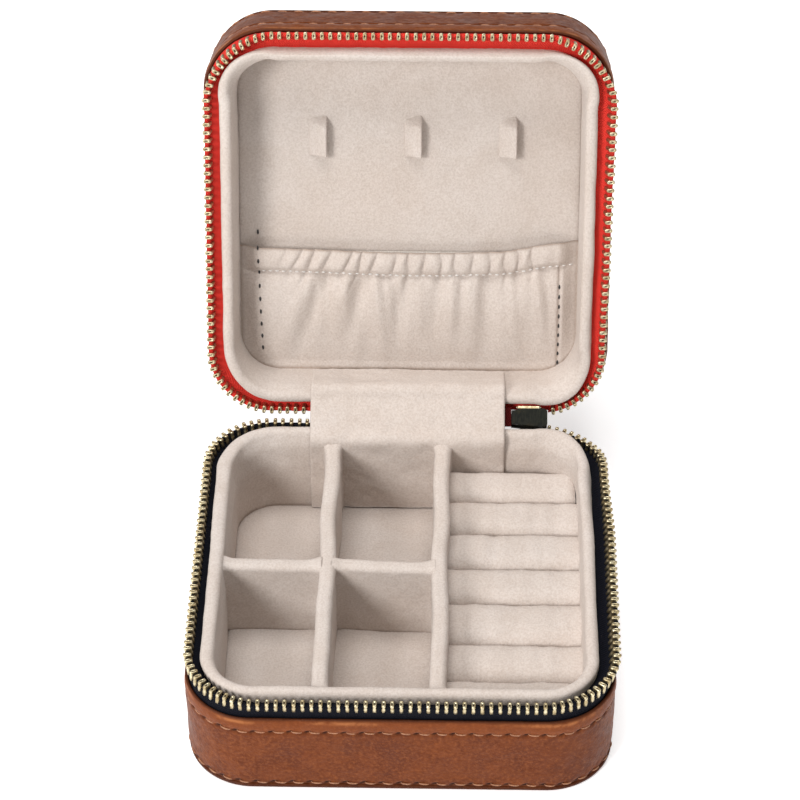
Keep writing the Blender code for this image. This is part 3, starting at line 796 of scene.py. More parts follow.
TOOTH_PITCH = 2.05
TAPE_EDGE = 27.6               # the tape's beaded edge, between the teeth
TAPE_BEND = 23.3               # the tape leans outwards above this height
TOOTH_LOW = 25.8
TOOTH_INSET = 1.35             # the middle of the teeth behind the leather's outer face
TOOTH_SCALE = 0.95
ZIP_LEFT = 23.2                # where the teeth end beside the flap, along the back
TAPE_LEFT = 21.4
ZIP_RIGHT = CASE_ROUTE.length - 36.0   # where they end beside the slider
TAPE_RIGHT = CASE_ROUTE.length - 35.5
TAPE_TAIL = CASE_ROUTE.length - 24.4


def lean(spot, out, in_lid):
    """How far outwards the zip's edge leans at each place round the case."""
    left = np.clip(-out[:, 0], 0, 1) ** 2
    right = np.clip(out[:, 0], 0, 1) ** 2
    back = np.clip(out[:, 1], 0, 1) ** 2
    front = np.clip(-out[:, 1], 0, 1) ** 2
    if in_lid:
        forward = smooth_step(-spot[:, 1], -10.0, 40.0)
        return 0.60 * left + (0.70 + 0.80 * forward) * right + 0.55 * back + 0.95 * front
    return 0.75 * left + 1.70 * right + 0.90 * back + 0.55 * front


def drawn_in(spot, out):
    """How far the rim and zip are drawn in along the back of the right side."""
    return 1.2 * smooth_step(spot[:, 1], 5.0, 34.0) * np.clip(out[:, 0], 0, 1) ** 0.7


def sink(spot, out, in_lid):
    """How far the zip sinks at the back corners, most beside the slider."""
    behind = smooth_step(out[:, 1], 0.05, 0.75)
    right, left = (1.1, 1.0) if in_lid else (1.5, 0.4)
    return behind * np.where(spot[:, 0] > 0, right, left)


def corner_turn(out, front):
    """1 in the middle of the front (or back) corners, falling to 0 along the sides."""
    towards = -out[:, 1] if front else out[:, 1]
    return np.clip(2 * towards * np.abs(out[:, 0]), 0, 1)


def zip_frame(distances, in_lid):
    """Middle of the tape's edge, outward direction, lean and sinking along the zip."""
    spot, out = CASE_ROUTE.at(distances)
    outward = lean(spot, out, in_lid) - drawn_in(spot, out) * (0.5 if in_lid else 1.0)
    outward = outward - corner_turn(out, True) * (1.5 if in_lid else 1.1)
    return spot, out, outward, sink(spot, out, in_lid)


def tape(name, body, material, slot, turn, in_lid, node):
    """The tape: it rises out of the leather to a beaded edge and falls inwards to the lining."""
    distances = np.arange(TAPE_LEFT, TAPE_RIGHT, 0.5)
    spot, out, outward, lower = zip_frame(distances, in_lid)
    section = round_profile([(1.30, 21.2, 0), (1.25, 22.2, 0.4), (0.80, 23.2, 1.0),
                             (0.78, 25.8, 1.0), (0.80, TAPE_EDGE, 0.40), (1.85, TAPE_EDGE, 0.40),
                             (2.05, 25.9, 0.8), (5.20, 24.6, 0.3), (5.20, 23.7, 0.3),
                             (2.0, 23.2, 0.3), (1.75, 21.2, 0)], 0.22)
    share = smooth_step(section[:, 1], TAPE_BEND, TAPE_EDGE)
    insets = section[None, :, 0] - outward[:, None] * share[None, :]
    heights = section[None, :, 1] - lower[:, None] * share[None, :]
    if in_lid:
        heights = mirrored(heights)
    grid = np.zeros((*insets.shape, 3))
    grid[..., :2] = spot[:, None, :] - insets[..., None] * out[:, None, :]
    grid[..., 2] = heights
    ripple = 0.05 * field(grid, 3.0, 31) * smooth_step(section[:, 1], 22, 25)[None, :]
    grid = raised(grid, ripple, False, True)
    piece = grid_piece(name, grid, material, turn, False, True, caps="u", flip=in_lid)
    return attach(piece, body, slot, node)


def tooth_shape():
    """One brass tooth as rings: two legs run together into a head with a hollow tip."""
    # (height, half width along the zip, half thickness, painted shade)
    rings = [(0.00, 0.40, 0.82, 0.55), (0.10, 0.51, 0.92, 0.25), (1.30, 0.51, 0.98, 0.0),
             (1.62, 0.42, 0.92, 0.0), (1.95, 0.42, 0.92, 0.0), (2.30, 0.49, 0.98, 0.0),
             (2.62, 0.49, 0.98, 0.0), (2.80, 0.43, 0.92, 0.0), (2.84, 0.35, 0.80, 0.0),
             (2.80, 0.17, 0.34, 0.25), (2.62, 0.11, 0.22, 0.9), (2.56, 0.03, 0.06, 1.0)]
    around = 14
    angle = TAU * (np.arange(around) + 0.5) / around
    across = squarish(np.cos(angle), 0.55)
    depth = squarish(np.sin(angle), 0.55)
    points = []
    hollow_shade = []
    for height, half_width, half_depth, dark in rings:
        points.append(np.stack([half_width * across, half_depth * depth,
                                np.full(around, height)], 1))
        hollow_shade.append(np.full(around, dark))
    return np.array(points), np.array(hollow_shade)


def teeth(name, body, turn, in_lid, node):
    """A row of teeth clamped on the tape's edge, joined into one piece."""
    shape, hollow_shade = tooth_shape()
    rings, around = shape.shape[:2]
    begin = ZIP_RIGHT - (TOOTH_PITCH / 2 if in_lid else 0)
    distances = np.arange(begin, ZIP_LEFT, -TOOTH_PITCH)
    spot, out, outward, lower = zip_frame(distances, in_lid)
    ahead = np.stack([-out[:, 1], out[:, 0]], 1)
    rng = np.random.default_rng(41 + in_lid)
    faces, _, _ = grid_faces(rings, around, False, True)
    vertices = []
    face_list = []
    dark = []
    for index in range(len(distances)):
        rise = shape[..., 2] * TOOTH_SCALE + rng.uniform(-0.05, 0.05)
        height = TOOTH_LOW + rise - lower[index]
        tilt = rng.uniform(-0.035, 0.035)
        share = smooth_step(height + lower[index], TAPE_BEND, TAPE_EDGE + 2.4)
        inset = TOOTH_INSET - outward[index] * share * 1.15
        along = shape[..., 0] + tilt * rise
        flat = (spot[index] - (inset - shape[..., 1])[..., None] * out[index]
                + along[..., None] * ahead[index])
        if in_lid:
            height = mirrored(height)
        first = len(vertices) * rings * around
        vertices.append(np.concatenate([flat, height[..., None]], -1).reshape(-1, 3))
        dark.append(hollow_shade.ravel())
        block = faces[:, ::-1] if in_lid else faces
        face_list += (block + first).tolist()
        bottom = list(range(first, first + around))
        tip = list(range(first + (rings - 1) * around, first + rings * around))
        face_list.append(bottom if in_lid else bottom[::-1])
        face_list.append(tip[::-1] if in_lid else tip)
    piece = finish_mesh(name, np.concatenate(vertices), face_list, "brass", turn)
    add_attribute(piece.data, "hollow_shade", np.concatenate(dark))
    return attach(piece, body, "zip_brass", node)


def tape_tail(name, body, material, slot, turn, in_lid):
    """The low strip of tape that runs on behind the slider to the flap."""
    distances = np.arange(TAPE_RIGHT - 0.3, TAPE_TAIL, 0.5)
    section = round_profile([(1.25, 21.4, 0.2), (0.90, 25.6, 0.3), (2.30, 25.6, 0.4),
                             (3.60, 24.2, 0.3), (3.60, 23.6, 0.2), (1.75, 22.4, 0.2)], 0.22)
    heights = mirrored(section[:, 1]) if in_lid else section[:, 1]
    grid = swept(CASE_ROUTE, distances, section[:, 0], heights)
    piece = grid_piece(name, grid, material, turn, False, True, caps="u", flip=in_lid)
    return attach(piece, body, slot)


def zip_end_patch():
    """The folded tape ends sewn together over the bottom stop, beside the flap, in a darker copy of
    the red tape that paints the shade they lie in.
    """
    low, high = extent("bottom_stop", OPEN / 2)
    face = low[1] - 0.25
    across = np.linspace(low[0] - 0.5, high[0] + 0.25, 14)
    back = face + 0.15
    front = face - 0.3
    foot = low[2] - 0.6
    top = high[2] + 1.1
    section = round_profile([(front, foot, 0.12), (back, foot, 0.12), (back, top, 0.12),
                             (front, top, 0.12)], 0.12)
    grid = np.zeros((len(across), len(section), 3))
    grid[..., 0] = across[:, None]
    grid[..., 1:] = section[None]
    grid[..., 1] += 0.06 * field(grid, 2.0, 45)
    piece = grid_piece("zip_end_patch", grid, "shaded_red", OPEN / 2, False, True, caps="u")
    face_outwards(piece)
    return attach(piece, "zip_end", "red_tape")


def zip_parts():
    """Tapes, teeth and the sewn ends of the zip."""
    zip_end_patch()
    tape_tail("base_tape_tail", "base", "navy", "navy_tape", 0.0, False)
    tape_tail("lid_tape_tail", "lid", "red", "red_tape", OPEN, True)
    tape("base_tape", "base", "navy", "navy_tape", 0.0, False, "base_zip_tape")
    tape("lid_tape", "lid", "red", "red_tape", OPEN, True, "lid_zip_tape")
    teeth("base_teeth", "base", 0.0, False, "base_zip_chain")
    teeth("lid_teeth", "lid", OPEN, True, "lid_zip_chain")


# --------------------------------------------------------------------- lining

RIM_REACH = 2.4                # how deep the rim's shifts fade out


def lining_wall(name, low, high, top_up, turn, body, node, seed):
    """The padded velvet wall with its full round rim."""
    distances = np.linspace(0, LINING_ROUTE.length, 640, endpoint=False)
    rim = high if top_up else low
    foot = low if top_up else high
    dip = -1 if top_up else 1
    section = round_profile([(0.0, foot, 0.2), (LINING_THICK, foot, 0.2),
                             (LINING_THICK, rim + 9.0 * dip, 6.0),
                             (LINING_THICK - 0.70, rim, 1.30), (0.20, rim, 1.35),
                             (0.0, rim + 6.0 * dip, 3.0)], 0.34)
    grid = swept(LINING_ROUTE, distances, section[:, 0], section[:, 1])
    spot, out = LINING_ROUTE.at(distances)
    near_rim = bell(section[:, 1] - rim, RIM_REACH)[None, :]
    behind = corner_turn(out, False) * (out[:, 0] > 0)
    front_push, back_push = (0.6, 1.4) if top_up else (1.8, 1.7)
    corner = corner_turn(out, True) * front_push + behind * back_push
    push = corner[:, None] * near_rim
    grid[..., :2] += out[:, None, :] * push[..., None]
    back = smooth_step(out[:, 1], 0.25, 0.9)[:, None]
    if top_up:
        grid[..., 1] += 1.45 * back * near_rim
        grid[..., 0] -= 0.7 * drawn_in(spot, out)[:, None] * near_rim
        grid[..., 2] += 0.35 * back * near_rim
        left = smooth_step(-out[:, 0], 0.3, 1.0)
        left = left * (0.55 + 0.5 * smooth_step(spot[:, 1], -10, 34))
        outer = smooth_step(-section[:, 0], -LINING_THICK * 0.8, 0)[None, :]
        grid[..., 0] -= left[:, None] * near_rim * outer
    else:
        front = smooth_step(-out[:, 1], 0.2, 0.9)[:, None]
        outer = smooth_step(-section[:, 0], -LINING_THICK / 2, 0)[None, :]
        grid[..., 1] += 0.95 * back * near_rim + 0.85 * front * near_rim * outer
        grid[..., 0] -= 0.4 * drawn_in(spot, out)[:, None] * near_rim
    height = relief(grid, seed, (0.05, 12.0), (0.02, 3.6))
    grid = raised(grid, height, True, True, flip=top_up)
    seam = FLOOR_TOP if top_up else PANEL_FACE
    # painted shade along the line where the wall meets the floor pad or the lid's panel
    seam_shade = 0.75 * bell(section[:, 1] - seam, 0.45)
    piece = grid_piece(name, grid, "velvet", turn, True, True, flip=top_up,
                       marks={"painted_shade": seam_shade[None, :]})
    return attach(piece, body, "velvet", node)


def flat_pad(name, face, back, turn, body, node, seed, puff=0.25):
    """A padded velvet panel that fills the outline inside the lining."""
    under_wall = 0.30
    route = Route(INNER_X + under_wall, INNER_Y + under_wall, INNER_CORNER + under_wall)
    sign = 1 if face > back else -1
    insets = [0.0, 0.0, 0.05, 0.3, 0.8, 1.6]
    heights = [back, face - 0.9 * sign, face - 0.5 * sign, face - 0.2 * sign,
               face - 0.05 * sign, face]
    grid = dome_grid(route, 60, heights, insets, 420)
    reach = np.linspace(0, 1, grid.shape[1])
    grain = relief(grid, seed, (0.06, 13.0), (0.025, 4.0))
    grain *= 1 - smooth_step(reach, 0.90, 0.98)
    swell = puff * sign * smooth_step(reach, 0, 0.5)
    grid[..., 2] += (grain + swell) * smooth_step(reach, 0.02, 0.12)
    piece = grid_piece(name, grid, "velvet", turn, True, False, caps="v", flip=sign < 0,
                       marks={"painted_shade": 0.0})
    face_outwards(piece)
    attach(piece, body, "velvet", node)
    return piece


def divider_wall(name, across, along_low, along_high, low, high, thick, along_y, node, seed):
    """A padded divider with a round top that flares where it meets the walls."""
    count = max(40, int((along_high - along_low) / 0.5))
    along = np.linspace(along_low, along_high, count)
    half = thick / 2 + 0.22
    section = round_profile([(-half, low, 0.1), (half, low, 0.1),
                             (half, high, half * 0.72), (-half, high, half * 0.72)], 0.3)
    ends = bell(along - along_low, 1.7) + bell(along - along_high, 1.7)
    widen = 1 + 0.30 * ends[:, None]
    side = across + section[None, :, 0] * widen
    height = section[None, :, 1] + 0.45 * ends[:, None] * smooth_step(section[:, 1], low, high)
    length = np.broadcast_to(along[:, None], side.shape)
    order = (side, length, height) if along_y else (length, side, height)
    grid = np.stack(order, -1)
    bend = 0.22 * field(length[..., None], 38.0, seed)
    grid[..., 0 if along_y else 1] += bend
    grain = relief(grid, seed + 1, (0.045, 8.0), (0.02, 3.0))
    grid = raised(grid, grain, False, True, flip=along_y)
    # painted shade along the divider's foot, where it meets the floor pad
    seam_shade = 0.8 * bell(section[:, 1] - FLOOR_TOP, 0.45)
    piece = grid_piece(name, grid, "velvet", 0.0, False, True, caps="u", flip=along_y,
                       marks={"painted_shade": seam_shade[None, :]})
    attach(piece, "base", "velvet", node)
    return piece


def compartment_parts():
    """The two long partitions and the two short ones across them."""
    for index, side in enumerate(("left", "right")):
        low, high = extent("divider_" + side)
        divider_wall("partition_" + side, (low[0] + high[0]) / 2, low[1] - 1.6, high[1] + 1.3,
                     FLOOR_TOP - 0.1, high[2], high[0] - low[0], True, "divider_" + side,
                     60 + 5 * index)
    for index, side in enumerate(("left", "middle")):
        low, high = extent("cross_divider_" + side)
        divider_wall("cross_partition_" + side, (low[1] + high[1]) / 2 + 0.6, low[0] - 1.0,
                     high[0] + 0.8, FLOOR_TOP - 0.1, high[2] + 0.6, high[1] - low[1], False,
                     "cross_divider_" + side, 80 + 5 * index)


ROLL_GROOVES = (40.6, 29.5, 18.0, 5.9, -5.9, -19.5, -31.6, -41.6)     # from back to front
ROLL_LEFT = 10.6


def ring_roll(index):
    """One soft roll: round on top, pressed flat where it touches its neighbours."""
    node = "ring_roll_%d" % (index + 1)
    low, high = extent(node)
    back, front = ROLL_GROOVES[index:index + 2]
    middle = (back + front) / 2
    half = (back - front) / 2 + 0.08
    count = 110
    along = np.linspace(ROLL_LEFT, INNER_X + TUCK, count)
    around = 72
    angle = TAU * np.arange(around) / around
    cos, sin = np.cos(angle), np.sin(angle)
    side = squarish(cos, 0.62) * half
    top = high[2] - 4.2
    rise = np.where(sin > 0, top + 4.4 * np.abs(sin) ** 0.9,
                    top - (top - low[2]) * np.abs(sin) ** 0.35)
    grid = np.zeros((count, around, 3))
    grid[..., 0] = along[:, None]
    grid[..., 1] = middle + side[None, :]
    grid[..., 2] = rise[None, :]
    if index == 0:             # the back roll is rounded off at the lining's corner
        turned = 1 - np.sqrt(1 - np.clip(1 - (along[-1] - along) / 2.6, 0, 1) ** 2)
        grid[..., 0] -= 0.5 * np.clip(along - along[-1] + 2.6, 0, 1)[:, None]
        rear = np.clip(side / half, 0, 1)[None, :]
        grid[..., 1] -= 2.4 * turned[:, None] * rear
        grid[..., 2] -= 1.3 * turned[:, None] * smooth_step(grid[..., 2], top - 4, top + 3)
    seed = 100 + index * 7
    up = smooth_step(grid[..., 2], low[2] + 6, high[2])
    grid[..., 2] += relief(grid[..., :1], seed, (0.09, 18.0), (0.04, 6.0)) * up
    grain = relief(grid, seed + 2, (0.05, 8.0), (0.02, 2.6))
    grain = grain * smooth_step(grid[..., 2], low[2], low[2] + 4)
    grid = raised(grid, grain, False, True)
    piece = grid_piece("soft_roll_%d" % (index + 1), grid, "velvet", 0.0, False, True, caps="u",
                       marks={"painted_shade": 0.0})
    attach(piece, "base", "velvet", node)
    return piece


# ------------------------------------------------------------------ lid fittings

HOOK_STAND = 3.9               # how far the square end stands out from the panel
HOOK_HALF = 2.25
HOOK_ROOT = 0.3                # how deep the tabs start under the panel's face


def hook_tab(side):
    """A velvet tab sewn to the panel at its rounded end; its square end stands out."""
    low, high = extent("hook_" + side, OPEN)
    middle = (low[0] + high[0]) / 2 + 0.6
    count = 60
    share = np.linspace(0, 1, count)
    along = low[1] + (high[1] - low[1] - 1.2) * share
    start = np.sqrt(1 - (1 - np.clip(share / 0.16, 0, 1)) ** 2)
    width = HOOK_HALF * (0.35 + 0.65 * start)
    stand = 0.2 + HOOK_STAND * smooth_step(share, 0.0, 0.30)
    around = 40
    angle = TAU * np.arange(around) / around
    cos, sin = np.cos(angle), np.sin(angle)
    across = squarish(cos, 0.42)
    depth = squarish(sin, 0.42)
    closing = np.sqrt(np.clip(1 - np.clip((share - 0.93) / 0.07, 0, 1) ** 2 * 0.7, 0, 1))
    grid = np.zeros((count, around, 3))
    grid[..., 0] = middle + across[None, :] * (width * (0.78 + 0.22 * closing))[:, None]
    grid[..., 1] = along[:, None]
    root = PANEL_FACE + HOOK_ROOT
    centre = root - stand / 2
    lifted = 0.25 + 0.75 * (0.5 + 0.5 * across)
    rise = depth[None, :] * (stand / 2 + 0.1)[:, None] * closing[:, None]
    grid[..., 2] = root + (centre[:, None] - rise - root) * lifted[None, :]
    grid = raised(grid, 0.03 * field(grid, 3.0, 150), False, True, flip=True)
    piece = grid_piece("tab_" + side, grid, "velvet", OPEN, False, True, caps="u", flip=True,
                       marks={"painted_shade": 0.0})
    attach(piece, "lid", "velvet", "hook_" + side)
    return piece


POCKET_FOOT = INNER_Y + TUCK
POCKET_SEAM = 6.2              # from the mouth to the row of white stitches
POCKET_LEFT = -37.7            # the black rows of stitches that close its sides
POCKET_RIGHT = 38.1
CASING_STAND = 3.05            # clear of the elastic inside the casing
CASING_LEAST = 2.85
PLEAT_PITCH = 4.0
VALLEYS = ((-20.4, 0.35), (-11.5, 0.20), (-1.0, 0.10), (19.3, -0.05))  # place, slant


def mouth_line(x):
    """Height of the pocket's mouth across its width, dipping to the right."""
    return 8.6 + 1.0 * bell(x - 2.0, 24.0) - 2.0 * smooth_step(x, 22.0, 38.0)


def pocket_surface(x, share):
    """Points of the pocket's outer face: x across, share from the mouth down to the floor."""
    mouth = mouth_line(x)
    y = mouth + (POCKET_FOOT - mouth) * share
    down = y - mouth
    seam_share = POCKET_SEAM / (POCKET_FOOT - mouth)
    open_part = smooth_step(x, POCKET_LEFT - 5.0, POCKET_LEFT + 0.6)
    open_part = open_part * (1 - smooth_step(x, POCKET_RIGHT - 0.6, POCKET_RIGHT + 4.4))
    gathers = smooth_step(x, POCKET_LEFT + 3, POCKET_LEFT + 12)
    gathers = gathers * (1 - smooth_step(x, POCKET_RIGHT - 5, POCKET_RIGHT - 1))

    # pleats, which lean towards the left side
    slant = 0.50 * (1 - smooth_step(x, -30.0, 12.0))
    drawn = x + slant * (down - 3.0) + 0.25 * np.sin(0.9 * down + x)
    phase = drawn / PLEAT_PITCH + 0.15 * field(drawn[..., None], 15.0, 201)
    turn = phase - np.floor(phase)
    pleat = np.sin(math.pi * turn ** 1.35) ** 0.8 - 0.55

    # the casing that holds the elastic, from the mouth to the white stitches
    in_casing = np.clip(down / POCKET_SEAM, 0, 1)
    casing = CASING_STAND + 0.10 + 0.35 * np.sin(math.pi * in_casing)
    casing = casing + 1.05 * pleat * gathers * (0.45 + 0.55 * np.sin(math.pi * in_casing))
    casing = np.maximum(casing, CASING_LEAST)
    pinch = bell(down - POCKET_SEAM, 0.75)

    # the bag under it, with the pleats running out and long folds across
    below = np.clip((share - seam_share) / (1 - seam_share), 0, 1)
    hang = x + 2.2 * below * np.sin(x * 0.16)
    soft = field(np.stack([hang, y * 0.22], -1), 8.5, 203)
    fine = field(np.stack([hang, y * 0.10], -1), 4.2, 202)
    bag = 1.1 + 2.1 * np.sin(math.pi * np.clip(below + 0.10, 0, 1) ** 0.8)
    bag = bag + gathers * (0.60 * pleat * np.exp(-below * 8) + 0.34 * fine * np.exp(-below * 3.0))
    bag = bag + 0.42 * soft * np.sin(math.pi * below ** 0.7) * gathers
    for place, lean_of_fold in VALLEYS:
        away = x - place - lean_of_fold * (POCKET_SEAM - down)
        depth = 1.45 * np.sin(math.pi * below ** 0.5) ** 1.2 * (1 - 0.55 * below)
        bag = bag - depth * (bell(away, 2.3) - 0.5 * bell(away + 4.0, 2.6))

    # both joined at the seam and held down along the sides
    part = smooth_step(down, POCKET_SEAM - 0.4, POCKET_SEAM + 0.8)
    out = casing * (1 - part) + bag * part - 0.75 * pinch
    out = out - 0.7 * bell(x - POCKET_RIGHT, 0.45) * part
    out = 0.45 + (np.maximum(out, 0.6) - 0.45) * open_part
    z = PANEL_FACE - 0.15 - out
    return np.stack([x, y, z], -1)


def pocket():
    """The gathered pocket: one sheet sewn down at its sides and foot, open at its mouth."""
    side = INNER_X + TUCK
    every = 6                  # the back of the sheet needs fewer points than its face
    x = np.linspace(-side, side, 360)
    share = np.linspace(0, 1, 130)
    across, down = np.meshgrid(x, share, indexing="ij")
    face = pocket_surface(across, down)
    corner = INNER_CORNER
    past = np.clip(np.abs(face[..., 0]) - (side - corner), 0, corner)
    floor = POCKET_FOOT - (corner - np.sqrt(corner ** 2 - past ** 2))
    face[..., 1] = np.minimum(face[..., 1], floor)
    lip = face[:, :1].copy()
    lip[..., 2] += 0.45
    lip[..., 1] += 0.10
    back = face[:, ::every].copy()
    back[..., 2] = np.minimum(back[..., 2] + 0.9, PANEL_FACE + 0.05)
    back[:, 0, 1] += 0.4
    grid = np.concatenate([face[:, ::-1], lip, back], 1)
    # painted shade under the pocket's mouth, along its foot and at its sides
    wear_and_shade = 0.9 * bell(face[..., 1] - face[:, :1, 1], 0.40)
    wear_and_shade += 0.8 * bell(face[..., 1] - floor + 0.5, 0.55)
    wear_and_shade += 0.6 * bell(np.abs(face[..., 0]) - side + 0.5, 0.5)
    wear_and_shade = np.clip(wear_and_shade, 0, 1)
    shade = np.concatenate([wear_and_shade[:, ::-1], wear_and_shade[:, :1], wear_and_shade[:, ::every]], 1)
    piece = grid_piece("gathered_pocket", grid, "velvet", OPEN, False, False,
                       marks={"painted_shade": shade})
    return attach(piece, "lid", "velvet", "pocket")


def surface_stitches(name, centres, directions, length, radius, material, lift):
    """Short straight stitches lying on the pocket, one capsule at each centre."""
    steps = 6
    ring = 6
    share = np.linspace(0, 1, steps)
    vertices = []
    faces = []
    for centre, direction in zip(centres, directions):
        faces += tube_faces(len(vertices), steps, ring)
        side = np.array([-direction[1], direction[0], 0.0])
        for step in range(steps):
            arch = math.sin(math.pi * share[step])
            core = centre + direction * length * (share[step] - 0.5)
            core = core - [0, 0, lift + 0.16 * arch - 0.12]
            thick = radius * max(arch, 0.25) ** 0.4
            for corner in range(ring):
                angle = TAU * corner / ring
                vertices.append(core + side * thick * math.cos(angle)
                                + np.array([0, 0, thick * math.sin(angle)]))
    piece = finish_mesh(name, np.array(vertices), faces, material, OPEN)
    return attach(piece, "lid", "velvet")


def pocket_stitches():
    """The white row under the mouth and the black basting stitches at both sides."""
    white_pitch = 1.68
    x = np.arange(POCKET_LEFT + 1.2, INNER_X - 0.6, white_pitch)
    row = pocket_surface(x, POCKET_SEAM / (POCKET_FOOT - mouth_line(x)))
    steps = np.gradient(row, axis=0)
    steps /= np.linalg.norm(steps, axis=1, keepdims=True)
    white = surface_stitches("pocket_white_stitches", row, steps, 0.95, 0.24, "white_thread",
                             0.12)
    spots = []
    for column, slope, first, last, pitch in ((POCKET_LEFT - 0.3, 0.035, 5.4, 37.5, 3.35),
                                              (POCKET_RIGHT - 0.1, 0.0, 18.5, 40.5, 2.6)):
        for y in np.arange(first, last, pitch):
            x = np.array([column + slope * (y - first)])
            mouth = mouth_line(x)[0]
            share = (y - mouth) / (POCKET_FOOT - mouth)
            if share < 0:
                spots.append(np.array([x[0], y, PANEL_FACE - 0.25]))
            else:
                spots.append(pocket_surface(x, np.array([share]))[0])
    down = np.array([[0.03, 1.0, 0.0]] * len(spots))
    black = surface_stitches("pocket_black_stitches", np.array(spots), down, 1.15, 0.30,
                             "black_thread", 0.05)
    return white, black


def lid_parts():
    """The lid's lining, panel, hooks and pocket."""
    lining_wall("lid_lining", mirrored(LINING_TOP), extent("lid_lining_wall", OPEN)[1][2], False,
                OPEN, "lid", "lid_lining_wall", 51)
    flat_pad("lid_padding", PANEL_FACE, PANEL_FACE + 8.0, OPEN, "lid", "lid_panel", 55)
    for side in ("left", "middle", "right"):
        hook_tab(side)
    bag = pocket()
    white, black = pocket_stitches()


# ------------------------------------------------------------------- the hinge

def strap(name, path, left, right, thick, material, node, edge_marks, seed):
    """A band across the case that follows path, a list of (y, z), shaped to the open lid."""
    path = np.array(path)
    gaps = np.linalg.norm(np.diff(path, axis=0), axis=1)
    along = np.concatenate([[0], np.cumsum(gaps)])
    wanted = np.linspace(0, along[-1], int(along[-1] / 0.4))
    line = np.stack([np.interp(wanted, along, path[:, k]) for k in (0, 1)], 1)
    for _ in range(6):
        line[1:-1] = (line[:-2] + 2 * line[1:-1] + line[2:]) / 4
    slope = np.gradient(line, axis=0)
    slope /= np.linalg.norm(slope, axis=1, keepdims=True)
    away = np.stack([slope[:, 1], -slope[:, 0]], 1)
    half = thick / 2
    section = round_profile([(left, -half, half * 0.9), (right, -half, half * 0.9),
                             (right, half, half * 0.9), (left, half, half * 0.9)], 0.42)
    flat = line[:, None, :] + away[:, None, :] * section[None, :, 1, None]
    grid = np.zeros((len(line), len(section), 3))
    grid[..., 0] = section[None, :, 0]
    grid[..., 1:] = flat
    grain = relief(grid, seed, (0.10, 9.0), (0.04, 3.0))
    grid[..., 1:] += away[:, None, :] * grain[..., None]
    piece = grid_piece(name, grid, material, 0.0, False, True, caps="u", flip=True,
                       marks={label: 0.0 for label in edge_marks})
    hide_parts(node)
    return piece


def opened(y, z):
    """A place (y, z) of the shut lid, once the lid is open."""
    return tuple(swing(np.array([0.0, y, z]), OPEN)[1:])


def flap():
    """The velvet flap: up the base's back wall, over both rims and down inside the lid."""
    low, high = extent("hinge_flap")
    thick = 0.8
    clear = thick / 2 + 0.10
    wall = INNER_Y - clear
    turn = 1.75
    reach = turn + clear
    over = [(wall + clear + turn + reach * math.cos(angle),
             LINING_TOP - turn + reach * math.sin(angle) + 0.15)
            for angle in np.radians(np.linspace(180, 80, 9))]
    path = [(wall, FLOOR_TOP + 0.4)] + over
    path += [opened(y, mirrored(z)) for y, z in reversed(over)]
    path.append(opened(wall, PANEL_FACE - 3.6))
    piece = strap("velvet_flap", path, low[0], high[0], thick, "velvet", "hinge_flap",
                  ("painted_shade",), 170)
    lid_end = opened(over[-1][0], mirrored(over[-1][1]))
    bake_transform(piece)


def spine():
    """The leather strap at the very back, which joins base and lid."""
    low, high = extent("leather_spine")
    y = HALF_Y - LEATHER / 2
    path = [(y, LEATHER_TOP + 0.1), (y, HINGE_Z - 1.2), (y - 0.1, HINGE_Z - 0.6)]
    path += [opened(y - 0.1, HINGE_Z + 0.6), opened(y, HINGE_Z + 1.2),
             opened(y, mirrored(LEATHER_TOP) - 0.1)]
    piece = strap("leather_hinge_strap", path, low[0], high[0], LEATHER, "leather",
                  "leather_spine", ("hole", "edge", "band", "wear_and_shade"), 175)
    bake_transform(piece)


# --------------------------------------------------------- kept CAD nodes

def dress(node, material, bevel):
    """Give a CAD node that stays its finished material, and softer edges."""
    piece = NODES[node]
    piece.data.materials.clear()
    piece.data.materials.append(MATERIALS[material])
    soften(piece, bevel, 3)


def kept_nodes():
    """Boards, elastic, stops, bridge and pull keep their CAD shape."""
    for node in ("base_core_wall", "base_core_floor", "lid_core_wall", "lid_core_roof"):
        dress(node, "board", 0.2)
    dress("pocket_elastic", "elastic", 0.1)
    for node in ("base_top_stop", "lid_top_stop", "bottom_stop", "slider_bridge", "pull_tab"):
        dress(node, "brass", 0.08)


SLIDER_SQUEEZE = 0.76          # the slider's visible height against the CAD block
SLIDER_LIFT = 0.25


def slider_casing():
    """The slider's finished body: the CAD block made slimmer, with softer edges."""
    source = NODES["slider_body"]
    corners = np.array([vertex.co for vertex in source.data.vertices]) / MM
    shut = swing(corners, -OPEN / 2)
    middle = (shut[:, 2].min() + shut[:, 2].max()) / 2 + SLIDER_LIFT
    shut[:, 2] = middle + (shut[:, 2] - middle) * SLIDER_SQUEEZE
    faces = [tuple(face.vertices) for face in source.data.polygons]
    piece = finish_mesh("slider_casing", shut, faces, "dark_brass", OPEN / 2, smooth=False)
    soften(piece, 0.30, 4)
    attach(piece, "slider", "dark_brass", "slider_body")
    return shut.min(0), shut.max(0)


def slider_trim(low, high):
    """The brass-coloured edge where the black has worn off the slider."""
    front = low[1] - 0.06
    back = low[1] + 0.9
    foot = high[2] - 0.10
    top = high[2] + 0.59
    section = round_profile([(front, foot, 0.05), (back, foot, 0.05), (back, top, 0.15),
                             (front, top, 0.15)], 0.08)
    along = np.linspace(low[0] + 1.2, high[0] - 1.6, 30)
    taper = np.minimum(1, np.minimum(along - along[0], along[-1] - along) / 0.5 + 0.2)
    grid = np.zeros((len(along), len(section), 3))
    grid[..., 0] = along[:, None]
    centre = section.mean(0)
    grid[..., 1] = centre[0] + (section[:, 0] - centre[0])[None, :] * taper[:, None]
    grid[..., 2] = centre[1] + (section[:, 1] - centre[1])[None, :] * taper[:, None]
    piece = grid_piece("slider_worn_edge", grid, "brass", OPEN / 2, False, True, caps="u",
                       marks={"hollow_shade": 0.0})
    attach(piece, "slider", "zip_brass")


